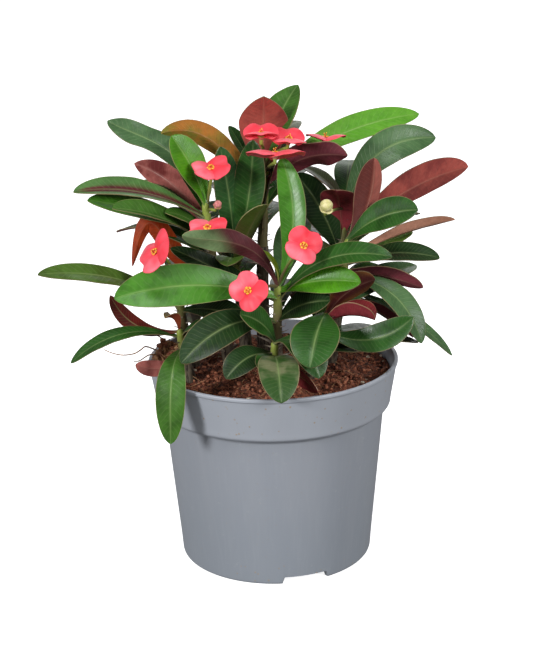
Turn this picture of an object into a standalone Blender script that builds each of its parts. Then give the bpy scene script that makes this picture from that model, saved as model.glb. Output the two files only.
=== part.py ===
"""A potted crown of thorns (Euphorbia milii) in a 12 cm nursery pot.

The plant is set out in millimetres as a list of shoots. Each shoot is a woody stem in the soil, a green
top that grows from it, the leaves and flower stalks on that top, and the blooms on the stalks. Leaves are
given by where they sit on the shoot, which way they point and how they bend. A rule then turns each leaf a
little, where it has to, until it passes clear of everything that belongs to another shoot.

Frame: +Z up, origin on the pot's axis at its base, the viewer at -Y. Everything is scaled to metres.
"""

import math
from dataclasses import dataclass, field, replace

import bmesh
import bpy
import numpy as np
from mathutils.bvhtree import BVHTree

MM = 0.001

# ---- pot ------------------------------------------------------------------------------------------------
POT_HEIGHT = 98.0
RIM_RADIUS = 60.0
BAND_FOOT_RADIUS = 56.6      # outside of the rim band at its lower edge
BAND_HEIGHT = 21.0
STEP_HEIGHT = 3.2            # the sloping step from the body out to the band
BODY_TOP_RADIUS = 53.2
BODY_FOOT_RADIUS = 47.2
FOOT_RADIUS = 46.0
WALL = 1.3
LIP = 1.9
FOOT_RING_WIDTH = 2.4
PLATE_HEIGHT = 4.0           # underside of the bottom plate
PLATE = 1.6
NOTCHES = 3
NOTCH_WIDTH = 22.0
NOTCH_HEIGHT = 3.6
NOTCH_FIRST = -73.0          # heading of the first notch, degrees
DRAIN_HOLES = 6
DRAIN_RADIUS = 4.0
DRAIN_CIRCLE = 30.0
POT_SIDES = 48

# ---- soil -----------------------------------------------------------------------------------------------
SOIL_EDGE = 90.5             # height of the soil at the wall
SOIL_MOUND = 4.0             # how much higher it stands in the middle
CLUMP = (-50.0, -2.0)        # a clump of fibre standing proud near the wall
CLUMP_RADIUS = 9.0
CLUMP_HEIGHT = 9.0
SOIL_SIDES = 28
SOIL_RINGS = 5
STEM_DEPTH = 14.0            # how far a stem goes down into the soil
GAP = 0.3                    # left between pieces that touch

# ---- plant ----------------------------------------------------------------------------------------------
STEM_RADIUS = 3.2
SHOOT_RADIUS = 2.0
STALK_RADIUS = 0.8
BLADE = 0.8                  # thickness of a leaf
BRACT = 0.8
CLEARANCE = 0.4              # left round a leaf when it is fitted past its neighbours
FOOT_ROWS = 2                # rows at a leaf's foot that may run into its own shoot's other leaves
KIN_TRIES = 90               # turns tried to pass clear of the same shoot's other leaves
THORN_LENGTH = 8.0
THORN_RADIUS = 0.7
THORN_SPACING = 5.5
WIDEST = 0.62                # how far along a blade is widest
TIP_HALF_WIDTH = 0.35
ROWS = (0.0, 0.15, 0.33, 0.52, 0.72, 0.9, 1.0)   # places along a blade where it is drawn
FAR_ROWS = (0.0, 0.24, 0.52, 0.84, 1.0)
CUP_DEPTH = 1.6              # the little cup under a pair of bracts
EYE_RADIUS = 1.2
EYE_SEAT = 1.15              # how far the eye stands over the foot of the bracts
BRACT_FAN = 8                # triangles in each face of a bract


@dataclass(frozen=True)
class Leaf:
    """One leaf. Lengths in mm, angles in degrees."""

    at: float                # where it leaves the green top: 0 at its foot, 1 at its tip
    heading: float           # of the chord: 0 is +X, 90 is +Y, -90 is towards the viewer
    rise: float              # of the chord above the level
    length: float
    width: float
    arch: float = 3.0        # lift of the midrib over the chord
    peak: float = 0.5        # how far along the lift is greatest
    sway: float = 0.0        # bow to the right, looking to the tip
    roll: float = 0.0        # clockwise, looking to the tip
    twist: float = 0.0       # roll gained from foot to tip
    fold: float = 14.0       # how far each half stands up from flat
    wave: float = 0.0        # height of the waves of the margin
    blunt: float = 0.3       # 0 pointed, 1 round
    tone: str = "mid"
    name: str = ""
    far: bool = False        # on the far side, so drawn with fewer rows


@dataclass(frozen=True)
class Bloom:
    """A pair of bracts on a stalk. The face direction is that of the bloom's axis."""

    at: float
    heading: float
    rise: float
    length: float
    face: tuple
    spin: float = 0.0
    size: float = 9.5
    cup: float = 15.0
    arch: float = 3.0
    name: str = ""


@dataclass
class Shoot:
    """A stem from the soil to its crown, and a green top from there to its growing tip."""

    foot: tuple
    crown: tuple
    tip: tuple
    leaves: list = field(default_factory=list)
    blooms: list = field(default_factory=list)


# ---- small vector helpers -------------------------------------------------------------------------------
def unit(v):
    return v / np.linalg.norm(v)


def direction(heading, rise):
    h = math.radians(heading)
    r = math.radians(rise)
    return np.array([math.cos(r) * math.cos(h), math.cos(r) * math.sin(h), math.sin(r)])


def over(heading, rise):
    """The direction square to direction(heading, rise) that points most upwards."""
    h = math.radians(heading)
    r = math.radians(rise)
    return np.array([-math.sin(r) * math.cos(h), -math.sin(r) * math.sin(h), math.cos(r)])


def turned(v, axis, degrees):
    a = math.radians(degrees)
    return v * math.cos(a) + np.cross(axis, v) * math.sin(a) + axis * (axis @ v) * (1 - math.cos(a))


def hump(t, peak):
    """0 at both ends, 1 at peak."""
    a = max(1.0, peak / (1 - peak))
    b = max(1.0, (1 - peak) / peak)
    return t ** a * (1 - t) ** b / (peak ** a * (1 - peak) ** b)


# ---- the form of a leaf ---------------------------------------------------------------------------------
def half_width(t, blunt):
    """Share of the half width at t along the blade: a slow taper to the foot, a rounded tip."""
    if t < WIDEST:
        return 0.14 + 0.86 * math.sin(math.pi / 2 * (t / WIDEST) ** 1.1) ** 1.35
    k = (t - WIDEST) / (1 - WIDEST)
    return max(0.0, 1 - k ** (2.1 + 0.6 * blunt)) ** (0.66 - 0.16 * blunt)


def midrib(leaf, foot, t):
    along = direction(leaf.heading, leaf.rise)
    up = over(leaf.heading, leaf.rise)
    lift = hump(t, leaf.peak)
    return foot + along * leaf.length * t + (up * leaf.arch + np.cross(along, up) * leaf.sway) * lift


def blade_axes(leaf, foot, t):
    """The midrib point at t with the blade's own right-hand and upper directions there."""
    step = 0.02
    ahead = midrib(leaf, foot, min(1.0, t + step))
    behind = midrib(leaf, foot, max(0.0, t - step))
    tangent = unit(ahead - behind)
    right = unit(np.cross(tangent, over(leaf.heading, leaf.rise)))
    normal = np.cross(right, tangent)
    roll = math.radians(leaf.roll + leaf.twist * (t - 0.5))
    upper = normal * math.cos(roll) + right * math.sin(roll)
    return midrib(leaf, foot, t), right * math.cos(roll) - normal * math.sin(roll), upper


def rows_of(leaf):
    return FAR_ROWS if leaf.far else ROWS


def blade_grid(leaf, foot, rows, across=(-1, 0, 1)):
    """Points of the blade's middle surface, row by row, and the upper direction at each row."""
    fold = math.radians(leaf.fold)
    grid = []
    uppers = []
    for t in rows:
        centre, right, upper = blade_axes(leaf, foot, t)
        share = half_width(t, leaf.blunt)
        half = max(TIP_HALF_WIDTH, leaf.width / 2 * share)
        row = []
        for a in across:
            phase = 2 * math.pi * 2.2 * t + (math.pi / 2 if a > 0 else 0)
            wave = leaf.wave * math.sin(phase) * abs(a) * share
            lift = abs(a) * half * math.sin(fold) + wave
            row.append(centre + right * a * half * math.cos(fold) + upper * lift)
        grid.append(row)
        uppers.append(upper)
    return np.array(grid), np.array(uppers)


def blade_solid(leaf, foot, thickness, skipped=0):
    """A closed blade of that thickness: vertices and triangles, alike on both faces."""
    grid, uppers = blade_grid(leaf, foot, rows_of(leaf)[skipped:])
    rows, cols = grid.shape[:2]
    half = uppers[:, None, :] * thickness / 2
    verts = np.concatenate([(grid + half).reshape(-1, 3), (grid - half).reshape(-1, 3)])
    under = rows * cols
    tris = []
    for i in range(rows - 1):
        for j in range(cols - 1):
            a = i * cols + j
            b = a + 1
            c = b + cols
            d = a + cols
            tris += [(a, b, c), (a, c, d)]
            tris += [(under + c, under + b, under + a), (under + d, under + c, under + a)]
    rim = list(range(cols))
    rim += [i * cols + cols - 1 for i in range(1, rows)]
    rim += [(rows - 1) * cols + j for j in range(cols - 2, -1, -1)]
    rim += [i * cols for i in range(rows - 2, 0, -1)]
    for a, b in zip(rim, rim[1:] + rim[:1]):
        tris += [(b, a, under + a), (b, under + a, under + b)]
    return verts, tris


# ---- tubes, cones and bracts ----------------------------------------------------------------------------
def tube(points, radii, sides, end_along=None):
    """A closed tube through points. Vertices and faces. The last ring may face another way."""
    points = [np.asarray(p, float) for p in points]
    verts = []
    faces = []
    reference = np.array([0.0, 1.0, 0.0])
    for i, p in enumerate(points):
        along = unit(points[min(i + 1, len(points) - 1)] - points[max(i - 1, 0)])
        if i == len(points) - 1 and end_along is not None:
            along = end_along
        x = unit(np.cross(reference, along)) if abs(along @ reference) < 0.95 else np.array([1.0, 0, 0])
        y = np.cross(along, x)
        for k in range(sides):
            a = 2 * math.pi * k / sides
            verts.append(p + (x * math.cos(a) + y * math.sin(a)) * radii[i])
    for i in range(len(points) - 1):
        for k in range(sides):
            m = (k + 1) % sides
            faces.append((i * sides + k, i * sides + m, (i + 1) * sides + m, (i + 1) * sides + k))
    faces.append(tuple(range(sides - 1, -1, -1)))
    faces.append(tuple((len(points) - 1) * sides + k for k in range(sides)))
    return np.array(verts), faces


def shoot_point(shoot, at):
    crown = np.array(shoot.crown, float)
    return crown + (np.array(shoot.tip, float) - crown) * at


def bloom_axes(shoot, bloom):
    """The bloom's centre, its two flat directions and its axis."""
    centre = shoot_point(shoot, bloom.at) + direction(bloom.heading, bloom.rise) * bloom.length
    axis = direction(*bloom.face)
    reference = np.array([0, 0, 1.0]) if abs(axis[2]) < 0.95 else np.array([0, 1.0, 0])
    x = turned(unit(np.cross(reference, axis)), axis, bloom.spin)
    return centre, x, np.cross(axis, x), axis


def stalk_points(shoot, bloom):
    """A stalk that leaves the shoot along its heading, arches, and comes up square under the bloom."""
    start = shoot_point(shoot, bloom.at)
    centre, _, _, axis = bloom_axes(shoot, bloom)
    end = centre - axis * (CUP_DEPTH + GAP)
    under = end - axis * 1.5
    knee = (start + under) / 2 + over(bloom.heading, bloom.rise) * bloom.arch - axis * 1.5
    points = [start * (1 - t) ** 2 + knee * 2 * (1 - t) * t + under * t * t for t in (0, 0.33, 0.66, 1)]
    return points + [end]


def bract_solid(bloom, axes, side, thickness):
    """One broad bract: a fan of triangles round its foot, closed above and below.

    The one on the second side is a little smaller and lies a little higher.
    """
    centre, x, y, axis = axes
    if side < 0:
        bloom = replace(bloom, size=bloom.size * 0.94)
        centre = centre + axis * 0.35
    cup = math.radians(bloom.cup)
    out = x * side * math.cos(cup) + axis * math.sin(cup)
    normal = axis * math.cos(cup) - x * side * math.sin(cup)
    foot = centre - out * 0.10 * bloom.size
    rim = []
    for k in range(BRACT_FAN + 1):
        a = math.radians(112) * (2 * k / BRACT_FAN - 1)
        r = bloom.size * (0.45 + 0.61 * math.cos(0.8 * a) ** 0.9 - 0.17 * math.exp(-(a / 0.3) ** 2))
        rim.append(centre + out * (r * math.cos(a)) + y * (r * math.sin(a)) * 1.12)
    middle = [centre + out * 0.45 * bloom.size]
    half = normal * thickness / 2
    ring = [foot] + rim
    verts = [p + half for p in middle + ring] + [p - half for p in middle + ring]
    n = len(ring)
    low = n + 1
    tris = []
    for k in range(n):
        a = 1 + k
        b = 1 + (k + 1) % n
        tris += [(0, a, b), (low, low + b, low + a)]
        tris += [(b, a, low + a), (b, low + a, low + b)]
    return np.array(verts), tris


# ---- fitting leaves past their neighbours ---------------------------------------------------------------
def tree(verts, faces):
    return BVHTree.FromPolygons([tuple(v) for v in verts], [tuple(f) for f in faces])


def fits(candidate, owner, placed):
    low = candidate[0].min(axis=0) - 0.1
    high = candidate[0].max(axis=0) + 0.1
    mine = tree(*candidate)
    for name, solid_tree, solid_low, solid_high in placed:
        if name == owner or (solid_low > high).any() or (solid_high < low).any():
            continue
        if mine.overlap(solid_tree):
            return False
    return True


def put(placed, owner, solid):
    placed.append((owner, tree(*solid), solid[0].min(axis=0), solid[0].max(axis=0)))


def nudges():
    """Small turns of a leaf, the smallest first: heading, rise, arch and roll."""
    steps = [(h, r, a, o)
             for h in (0, 3, -3, 6, -6, 10, -10, 15, -15, 20, -20)
             for r in (0, 3, -3, 6, -6, 9, -9)
             for a in (0, 2, -2)
             for o in (0, 12, -12)]
    return sorted(steps, key=lambda s: abs(s[0]) + 2.2 * abs(s[1]) + 1.5 * abs(s[2]) + 0.6 * abs(s[3]))


NUDGES = nudges()


def settle(leaf, foot, owner, placed, kin):
    """The leaf, turned as little as it takes to pass clear of every other shoot, or None.

    It also passes clear of the leaves of its own shoot, past their feet, if a small turn is enough.
    """
    clear = None
    for i, (heading, rise, arch, roll) in enumerate(NUDGES):
        tried = replace(leaf, heading=leaf.heading + heading, rise=leaf.rise + rise,
                        arch=leaf.arch + arch, roll=leaf.roll + roll)
        if fits(blade_solid(tried, foot, BLADE + 2 * CLEARANCE), owner, placed):
            clear = clear or tried
            if fits(blade_solid(tried, foot, BLADE, FOOT_ROWS), "", kin):
                return tried
        if clear and i > KIN_TRIES:
            break
    return clear


# ---- the plan of the plant ------------------------------------------------------------------------------
def plan():
    """Every shoot with its blooms, and every leaf with its shoot's name, the ones that bend least first."""
    leaves = []
    shoots = {
        "middle": Shoot(foot=(-12, -2), crown=(-15, 4, 124), tip=(-17, 4, 146)),
        "front": Shoot(foot=(2, -8), crown=(2, -12, 112), tip=(3, -14, 137)),
        "right": Shoot(foot=(26, 4), crown=(32, -2, 126), tip=(36, -2, 155)),
        "upper_left": Shoot(foot=(-18, 4), crown=(-27, 0, 140), tip=(-30, -3, 174)),
        "top": Shoot(foot=(-4, 16), crown=(-4, 12, 150), tip=(-2, 12, 186)),
        "lower_right": Shoot(foot=(17, -20), crown=(20, -18, 106), tip=(25, -20, 125)),
        "lower_left": Shoot(foot=(-36, -18), crown=(-41, -18, 102), tip=(-43, -22, 119)),
        "low_front": Shoot(foot=(0, -26), crown=(0, -24, 98), tip=(1, -28, 114)),
        "upper_right": Shoot(foot=(22, 22), crown=(33, 22, 138), tip=(37, 26, 164)),
        "left": Shoot(foot=(-34, 2), crown=(-42, -2, 112), tip=(-44, -6, 134)),
    }

    def leaf(shoot, name, at, heading, rise, length, width, **more):
        leaves.append((shoot, Leaf(at, heading, rise, length, width, name=name, **more)))

    def bloom(shoot, name, at, heading, rise, length, face, **more):
        shoots[shoot].blooms.append(Bloom(at, heading, rise, length, face, name=name, **more))

    # The blooms come first: the leaves bend round them.
    bloom("front", "front_left", 1, -124, 10, 24, (-110, 25), spin=-37)
    bloom("front", "front_right", 1, -47, 53, 28, (-70, 35), spin=54)
    bloom("upper_left", "left_high", 0.8, -63, 76, 25, (-100, 66), spin=25, cup=22)
    bloom("upper_left", "left_middle", 0.6, -89, 18, 22, (-100, 66), spin=8)
    bloom("left", "far_left", 1, -108, 46, 34, (-150, 30), spin=60, size=11)
    bloom("top", "top_left", 1, -94, 46, 29, (-95, 84), spin=90, cup=28, arch=8)
    bloom("top", "top_back", 1, -55, 42, 26, (-60, 75), spin=100, cup=25, arch=7)
    bloom("top", "top_middle", 1, -80, 26, 30, (90, 74), size=14.5, cup=8)
    bloom("top", "top_right", 1, 10, 25, 32, (80, 78), size=10.5, cup=18)

    bloom("upper_right", "bud_cream", 1, -109, 13, 35, (-80, 60), size=3.0)
    bloom("upper_left", "bud_pink", 0.9, -40, 30, 8, (-60, 50), size=1.8)

    # The large leaves in front.
    leaf("front", "12", 0.8, -165, 8, 77, 21, arch=8, roll=-55, tone="bright")
    leaf("front", "29", 0.7, -20, 25, 61, 14, arch=10, roll=35, tone="bright")
    leaf("front", "30", 0.9, -20, 11, 41, 14, arch=5, roll=55, tone="lime")
    leaf("front", "28", 0.3, -25, 26, 30, 18, arch=3, roll=40, tone="dark")
    leaf("front", "19", 0.3, -140, -7, 57, 18, arch=8, roll=-40, tone="dark")
    leaf("front", "55", 1, 80, 75, 60, 13, arch=4, sway=7, tone="bright")
    leaf("middle", "51", 1, -10, 74, 58, 16, arch=-2, roll=80, tone="mid")
    leaf("middle", "53", 0.8, -165, 84, 59, 15, arch=1, roll=-80, tone="dark")
    leaf("middle", "54", 0.7, -50, 60, 42, 15, arch=5, blunt=0.8, tone="olive")
    leaf("middle", "57", 0.9, -100, 12, 21, 14, tone="olive")
    leaf("front", "56", 1, 170, 55, 22, 7, arch=5, tone="lime")
    leaf("front", "58", 1, -149, 33, 62, 11, arch=9, peak=0.4, roll=80, wave=1.5, tone="red")
    leaf("front", "59", 0.7, 170, 32, 56, 11, arch=3, roll=-40, tone="dark")

    leaf("right", "35", 0.4, -30, -33, 49, 14, arch=10, roll=25, tone="grey")
    leaf("right", "36", 0.2, -12, -30, 61, 8, arch=5, roll=20, tone="grey")
    leaf("lower_right", "27", 1, -110, -22, 38, 23, arch=7, roll=-5, tone="bright")
    leaf("lower_right", "33", 0.6, -20, 13, 45, 14, arch=-8, roll=60, twist=30, tone="mid")
    leaf("lower_right", "32", 0.8, -20, 8, 25, 19, arch=3, roll=-10, fold=45, blunt=0.8, tone="red")
    leaf("lower_right", "31", 1, 15, 35, 28, 17, arch=3, roll=-60, tone="red")
    leaf("right", "34", 0.1, -15, -27, 40, 10, arch=3, roll=-50, tone="red")
    leaf("lower_right", "37", 0.2, 0, 0, 47, 9, arch=3, roll=10, tone="dark")
    leaf("lower_right", "38", 0.1, -25, 4, 27, 10, arch=2, roll=10, tone="dark")

    leaf("low_front", "24", 0.5, -86, -9, 42, 19, arch=8, blunt=0.6, tone="dark")
    leaf("low_front", "22", 0.6, -135, -6, 31, 14, arch=5, roll=-30, tone="dark")
    leaf("low_front", "26", 1, -48, -18, 31, 17, arch=7, roll=15, tone="dark")
    leaf("low_front", "21", 1, -160, 44, 23, 16, arch=3, roll=-40, tone="dark")
    leaf("low_front", "23", 0.5, -105, 4, 25, 11, arch=5, tone="dark")
    leaf("low_front", "25", 0.2, -54, -4, 34, 10, arch=3, roll=100, tone="red")

    leaf("lower_left", "18", 0.4, -98, -41, 49, 14, arch=16, peak=0.45, roll=-10, tone="bright")
    leaf("lower_left", "15", 0.8, -166, -8, 52, 9, arch=8, roll=-25, tone="dark")
    leaf("lower_left", "13", 1, -176, 30, 36, 8, arch=-7, roll=-85, tone="red")
    leaf("lower_left", "14", 1, -115, 38, 17, 7, arch=3, fold=35, tone="red")
    leaf("lower_left", "16", 0.1, -148, 3, 26, 8, arch=-5, roll=100, tone="red")
    leaf("lower_left", "20", 0.8, -20, 28, 15, 10, arch=2, roll=10, tone="dark")

    leaf("right", "43", 1, -20, 27, 38, 17, arch=4, roll=50, tone="mid")
    leaf("right", "45", 1, 10, 72, 41, 16, arch=-4, roll=-80, fold=35, tone="red")
    leaf("right", "42", 0.7, 12, 16, 56, 8, arch=3, roll=-60, fold=30, tone="salmon")
    leaf("right", "40", 0.6, -10, 6, 45, 14, arch=4, roll=25, tone="dark")
    leaf("right", "39", 0.5, -20, -7, 39, 11, arch=2, roll=-60, tone="red")
    leaf("right", "41", 0.6, 12, 20, 37, 10, arch=3, roll=20, tone="olive")

    leaf("upper_right", "44", 0.4, 32, 19, 82, 20, arch=6, roll=-75, tone="red")
    leaf("upper_right", "48", 0.9, 20, 35, 58, 18, arch=13, roll=55, tone="grey")
    leaf("upper_right", "46", 0.5, -105, 60, 30, 20, arch=3, tone="red")
    leaf("upper_right", "65", 1, 160, 40, 30, 14, arch=3, tone="red")
    leaf("upper_right", "67", 0.1, 165, 62, 46, 17, arch=3, roll=-80, tone="dark")

    leaf("top", "49", 1, 42, 60, 44, 20, arch=4, roll=10, blunt=-0.5, tone="mid")
    leaf("top", "50", 0.9, -88, 76, 42, 24, arch=5, blunt=-1, tone="red")
    leaf("top", "47", 0.9, 26, 14, 90, 15, arch=4, roll=45, tone="bright")
    leaf("top", "2", 0.9, -170, 27, 54, 12, arch=7, peak=0.68, roll=75, tone="mid")
    leaf("top", "52", 0.7, 165, 62, 36, 10, arch=3, roll=-20, tone="dark")
    leaf("top", "66", 0.05, 10, 79, 44, 20, arch=2, tone="dark")
    leaf("top", "64", 0.8, -25, 23, 46, 15, arch=6, roll=-60, wave=1.5, tone="red")

    leaf("upper_left", "1", 1, 155, 36, 62, 14, arch=11, peak=0.4, roll=-35, wave=1.2, tone="mid")
    leaf("upper_left", "4", 1, -175, 66, 36, 17, arch=2, roll=-65, tone="lime")
    leaf("upper_left", "7", 0.8, -165, 16, 64, 17, arch=6, roll=-20, fold=20, tone="mid")
    leaf("upper_left", "9", 0.4, -145, 27, 58, 14, arch=6, roll=-30, fold=28, tone="bright")
    leaf("upper_left", "6", 0.6, 150, 36, 50, 15, arch=6, roll=110, fold=30, tone="red")
    leaf("upper_left", "8", 0.6, -160, 20, 60, 15, arch=4, roll=-30, tone="mid")
    leaf("upper_left", "10", 0.1, -170, 4, 38, 10, arch=21, peak=0.8, roll=95, tone="red")
    leaf("upper_left", "3", 0.8, 140, 55, 37, 10, roll=-40, fold=35, tone="dark")
    leaf("upper_left", "5", 1, 120, 70, 13, 8, tone="mid")
    leaf("upper_left", "61", 0.1, -175, 30, 36, 10, roll=-20, tone="dark")
    leaf("upper_left", "62", 0.3, -145, 44, 34, 11, roll=-30, tone="mid")

    leaf("left", "11", 0.6, -142, 22, 81, 12, arch=4, roll=-35, tone="olive")
    leaf("left", "68", 0.5, -30, 0, 34, 14, arch=3, roll=30, tone="dark")

    leaves += leaves_behind(shoots)
    return shoots, leaves


# On its far side each shoot has this many leaves, with headings between these two, rising from this.
FAR_SIDE = {"front": (3, 40, 140, 25), "right": (5, 45, 115, 5), "upper_left": (6, 85, 165, 25),
            "top": (6, 30, 150, 28), "lower_right": (3, 20, 100, 15), "middle": (5, 60, 150, 25),
            "lower_left": (1, 70, 105, 0), "upper_right": (5, 60, 140, 25), "left": (4, 80, 125, 5)}
GOLDEN_SHARE = 0.618
FAR_REACH = 63.0             # no leaf reaches farther back than this


def leaves_behind(shoots):
    """Leaves on the far side of each shoot, spread by the golden section, the lower ones lying flatter."""
    leaves = []
    for name, (count, low, high, top) in FAR_SIDE.items():
        for i in range(count):
            heading = round(low + (high - low) * ((0.3 + GOLDEN_SHARE * i) % 1))
            rise = round(top - 34 * i / count)
            room = (FAR_REACH - shoots[name].crown[1]) / direction(heading, rise)[1]
            leaves.append((name, Leaf(
                at=0.85 - 0.75 * i / count, heading=heading, rise=rise,
                length=round(min(54 + 7 * math.sin(2.4 * i + low), room)),
                width=round(15 + 2.5 * math.sin(1.7 * i + low)),
                arch=6, tone=("mid", "dark", "red", "grey")[(i + count) % 4], name=f"{name}_far_{i}",
                far=True)))
    return leaves


# ---- solids of the plant --------------------------------------------------------------------------------
def stem_point(shoot, t):
    """A point on the stem's axis, which bows a little to one side: 0 in the soil, 1 at the crown."""
    foot = np.array([*shoot.foot, SOIL_EDGE - STEM_DEPTH])
    run = np.array(shoot.crown, float) - foot
    return foot + run * t + np.array([run[1], -run[0], 0.0]) * 0.12 * math.sin(math.pi * t)


def stem_solid(shoot):
    points = [stem_point(shoot, t) for t in (0, 0.25, 0.5, 0.75)]
    crown = np.array(shoot.crown, float)
    upward = unit(np.array(shoot.tip, float) - crown)
    points.append(crown - upward * GAP)
    return tube(points, [STEM_RADIUS * r for r in (1.1, 1.05, 1.0, 0.92, 0.85)], 8, end_along=upward)


def top_solid(shoot):
    crown = np.array(shoot.crown, float)
    tip = np.array(shoot.tip, float)
    return tube([crown, crown + (tip - crown) * 0.6, tip, tip + unit(tip - crown) * 1.5],
                [SHOOT_RADIUS * 1.15, SHOOT_RADIUS, SHOOT_RADIUS * 0.85, SHOOT_RADIUS * 0.3], 7)


def revolve(profile, sides):
    """A closed solid of revolution. The profile runs from the axis, round the outside, back to the axis."""
    verts = [(0, 0, profile[0][1])]
    for radius, z in profile[1:-1]:
        for k in range(sides):
            a = 2 * math.pi * k / sides
            verts.append((radius * math.cos(a), radius * math.sin(a), z))
    verts.append((0, 0, profile[-1][1]))
    faces = []
    rings = len(profile) - 2
    last = len(verts) - 1
    for k in range(sides):
        m = (k + 1) % sides
        faces.append((0, 1 + m, 1 + k))
        for i in range(rings - 1):
            a = 1 + i * sides
            b = a + sides
            faces.append((a + k, a + m, b + m, b + k))
        top = 1 + (rings - 1) * sides
        faces.append((last, top + k, top + m))
    return np.array(verts, float), faces


def soil_height(x, y):
    """The soil's surface: a low mound, small clods, and one clump of fibre near the wall."""
    r = math.hypot(x, y) / RIM_RADIUS
    mound = SOIL_EDGE + SOIL_MOUND * (1 - r * r)
    clods = 0.9 * math.sin(0.31 * x + 1.3) * math.sin(0.27 * y + 0.4) + 0.5 * math.sin(0.83 * x + 0.61 * y)
    off = math.hypot(x - CLUMP[0], y - CLUMP[1]) / CLUMP_RADIUS
    clump = CLUMP_HEIGHT * math.exp(-off * off)
    return mound + clods + clump


def holder_solid():
    """The pot and its soil as one plain solid, used only to fit leaves past them."""
    step = POT_HEIGHT - BAND_HEIGHT
    return revolve([(0, 0), (FOOT_RADIUS, 0), (BODY_TOP_RADIUS, step - STEP_HEIGHT), (BAND_FOOT_RADIUS, step),
                    (RIM_RADIUS, POT_HEIGHT), (RIM_RADIUS - LIP, POT_HEIGHT),
                    (RIM_RADIUS - LIP - 0.6, SOIL_EDGE), (34, SOIL_EDGE + 3.6), (0, SOIL_EDGE + 5.4)], 48)


def bloom_solids(bloom, axes, thickness):
    """The cup, the two bracts and the eye of a bloom."""
    centre, _, _, axis = axes
    cup = tube([centre - axis * CUP_DEPTH, centre - axis * CUP_DEPTH * 0.4, centre + axis * 0.2],
               [0.9, 1.5, 1.9], 6)
    bracts = [bract_solid(bloom, axes, side, thickness) for side in (1, -1)]
    return [cup] + bracts, ball(centre + axis * (EYE_RADIUS + EYE_SEAT), (EYE_RADIUS, EYE_RADIUS * 1.1), axis)


def arrange(shoots, leaves):
    """Fits every leaf past the other shoots, in the order of the plan. Returns what is placed and left out."""
    placed = []
    kin = {name: [] for name in shoots}
    put(placed, "holder", holder_solid())
    for name, shoot in shoots.items():
        put(placed, name + "_stem", stem_solid(shoot))
        put(placed, name, top_solid(shoot))
        for bloom in shoot.blooms:
            put(placed, name, tube(stalk_points(shoot, bloom), [STALK_RADIUS + CLEARANCE] * 5, 6))
            petals, eye = bloom_solids(bloom, bloom_axes(shoot, bloom), BRACT + 2 * CLEARANCE)
            for solid in petals + [eye]:
                put(placed, name + bloom.name, solid)
    left_out = []
    for name, leaf in leaves:
        foot = shoot_point(shoots[name], leaf.at)
        settled = settle(leaf, foot, name, placed, kin[name])
        if settled is None:
            left_out.append(leaf.name)
            continue
        put(placed, name, blade_solid(settled, foot, BLADE))
        put(kin[name], name, blade_solid(settled, foot, BLADE, FOOT_ROWS))
        shoots[name].leaves.append(settled)
    return placed, left_out


# ---- thorns, buds, pot and soil -------------------------------------------------------------------------
def thorn_solids(name, shoot, placed):
    """Thorns in pairs up the woody stem. One that would touch a leaf or another shoot is left out."""
    buried = (STEM_DEPTH + SOIL_MOUND + 3) / (shoot.crown[2] - SOIL_EDGE + STEM_DEPTH)
    count = int((shoot.crown[2] - SOIL_EDGE - SOIL_MOUND - 3) / THORN_SPACING)
    solids = []
    for i in range(count):
        at = stem_point(shoot, buried + (1 - buried) * (i + 0.5) / count)
        for side in (0, 1):
            heading = 137.5 * i + 165 * side + shoot.foot[0] * 7
            reach = THORN_LENGTH * (0.8 + 0.3 * math.sin(1.9 * i + side))
            out = direction(heading, 12)
            solid = tube([at + out * 1.2, at + out * (STEM_RADIUS + reach)], [THORN_RADIUS, 0.12], 3)
            fat = tube([at + out * 1.2, at + out * (STEM_RADIUS + reach + 0.5)], [THORN_RADIUS + 0.5, 0.6], 3)
            if fits(fat, name + "_stem", placed):
                put(placed, name + "_stem", solid)
                solids.append(solid)
    return solids


def inner_radius(z):
    """The inside radius of the pot at height z."""
    heights = (PLATE_HEIGHT + PLATE, POT_HEIGHT - BAND_HEIGHT - STEP_HEIGHT, POT_HEIGHT - BAND_HEIGHT,
               POT_HEIGHT)
    radii = (BODY_FOOT_RADIUS - WALL - 0.4, BODY_TOP_RADIUS - WALL, BAND_FOOT_RADIUS - WALL - 0.6,
             RIM_RADIUS - WALL - 0.4)
    return float(np.interp(z, heights, radii))


def pot_profile():
    """From the axis under the plate, round the outside and the lip, and back down the inside."""
    step_foot = POT_HEIGHT - BAND_HEIGHT - STEP_HEIGHT
    band_foot = POT_HEIGHT - BAND_HEIGHT
    floor = PLATE_HEIGHT + PLATE
    return [(0, PLATE_HEIGHT), (FOOT_RADIUS - FOOT_RING_WIDTH - 0.6, PLATE_HEIGHT),
            (FOOT_RADIUS - FOOT_RING_WIDTH, 0), (FOOT_RADIUS - 0.7, 0), (FOOT_RADIUS + 0.2, 0.6),
            (BODY_FOOT_RADIUS, 9), (BODY_TOP_RADIUS, step_foot),
            (BODY_TOP_RADIUS + 0.8, step_foot + 0.9), (BAND_FOOT_RADIUS - 0.4, band_foot - 0.5),
            (BAND_FOOT_RADIUS, band_foot + 0.6), (RIM_RADIUS - 0.75, POT_HEIGHT - LIP - 0.4),
            (RIM_RADIUS, POT_HEIGHT - LIP + 0.3), (RIM_RADIUS, POT_HEIGHT - 0.6),
            (RIM_RADIUS - 0.6, POT_HEIGHT), (RIM_RADIUS - LIP, POT_HEIGHT),
            (inner_radius(band_foot), band_foot),
            (inner_radius(step_foot), step_foot), (inner_radius(floor), floor), (0, floor)]


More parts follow.
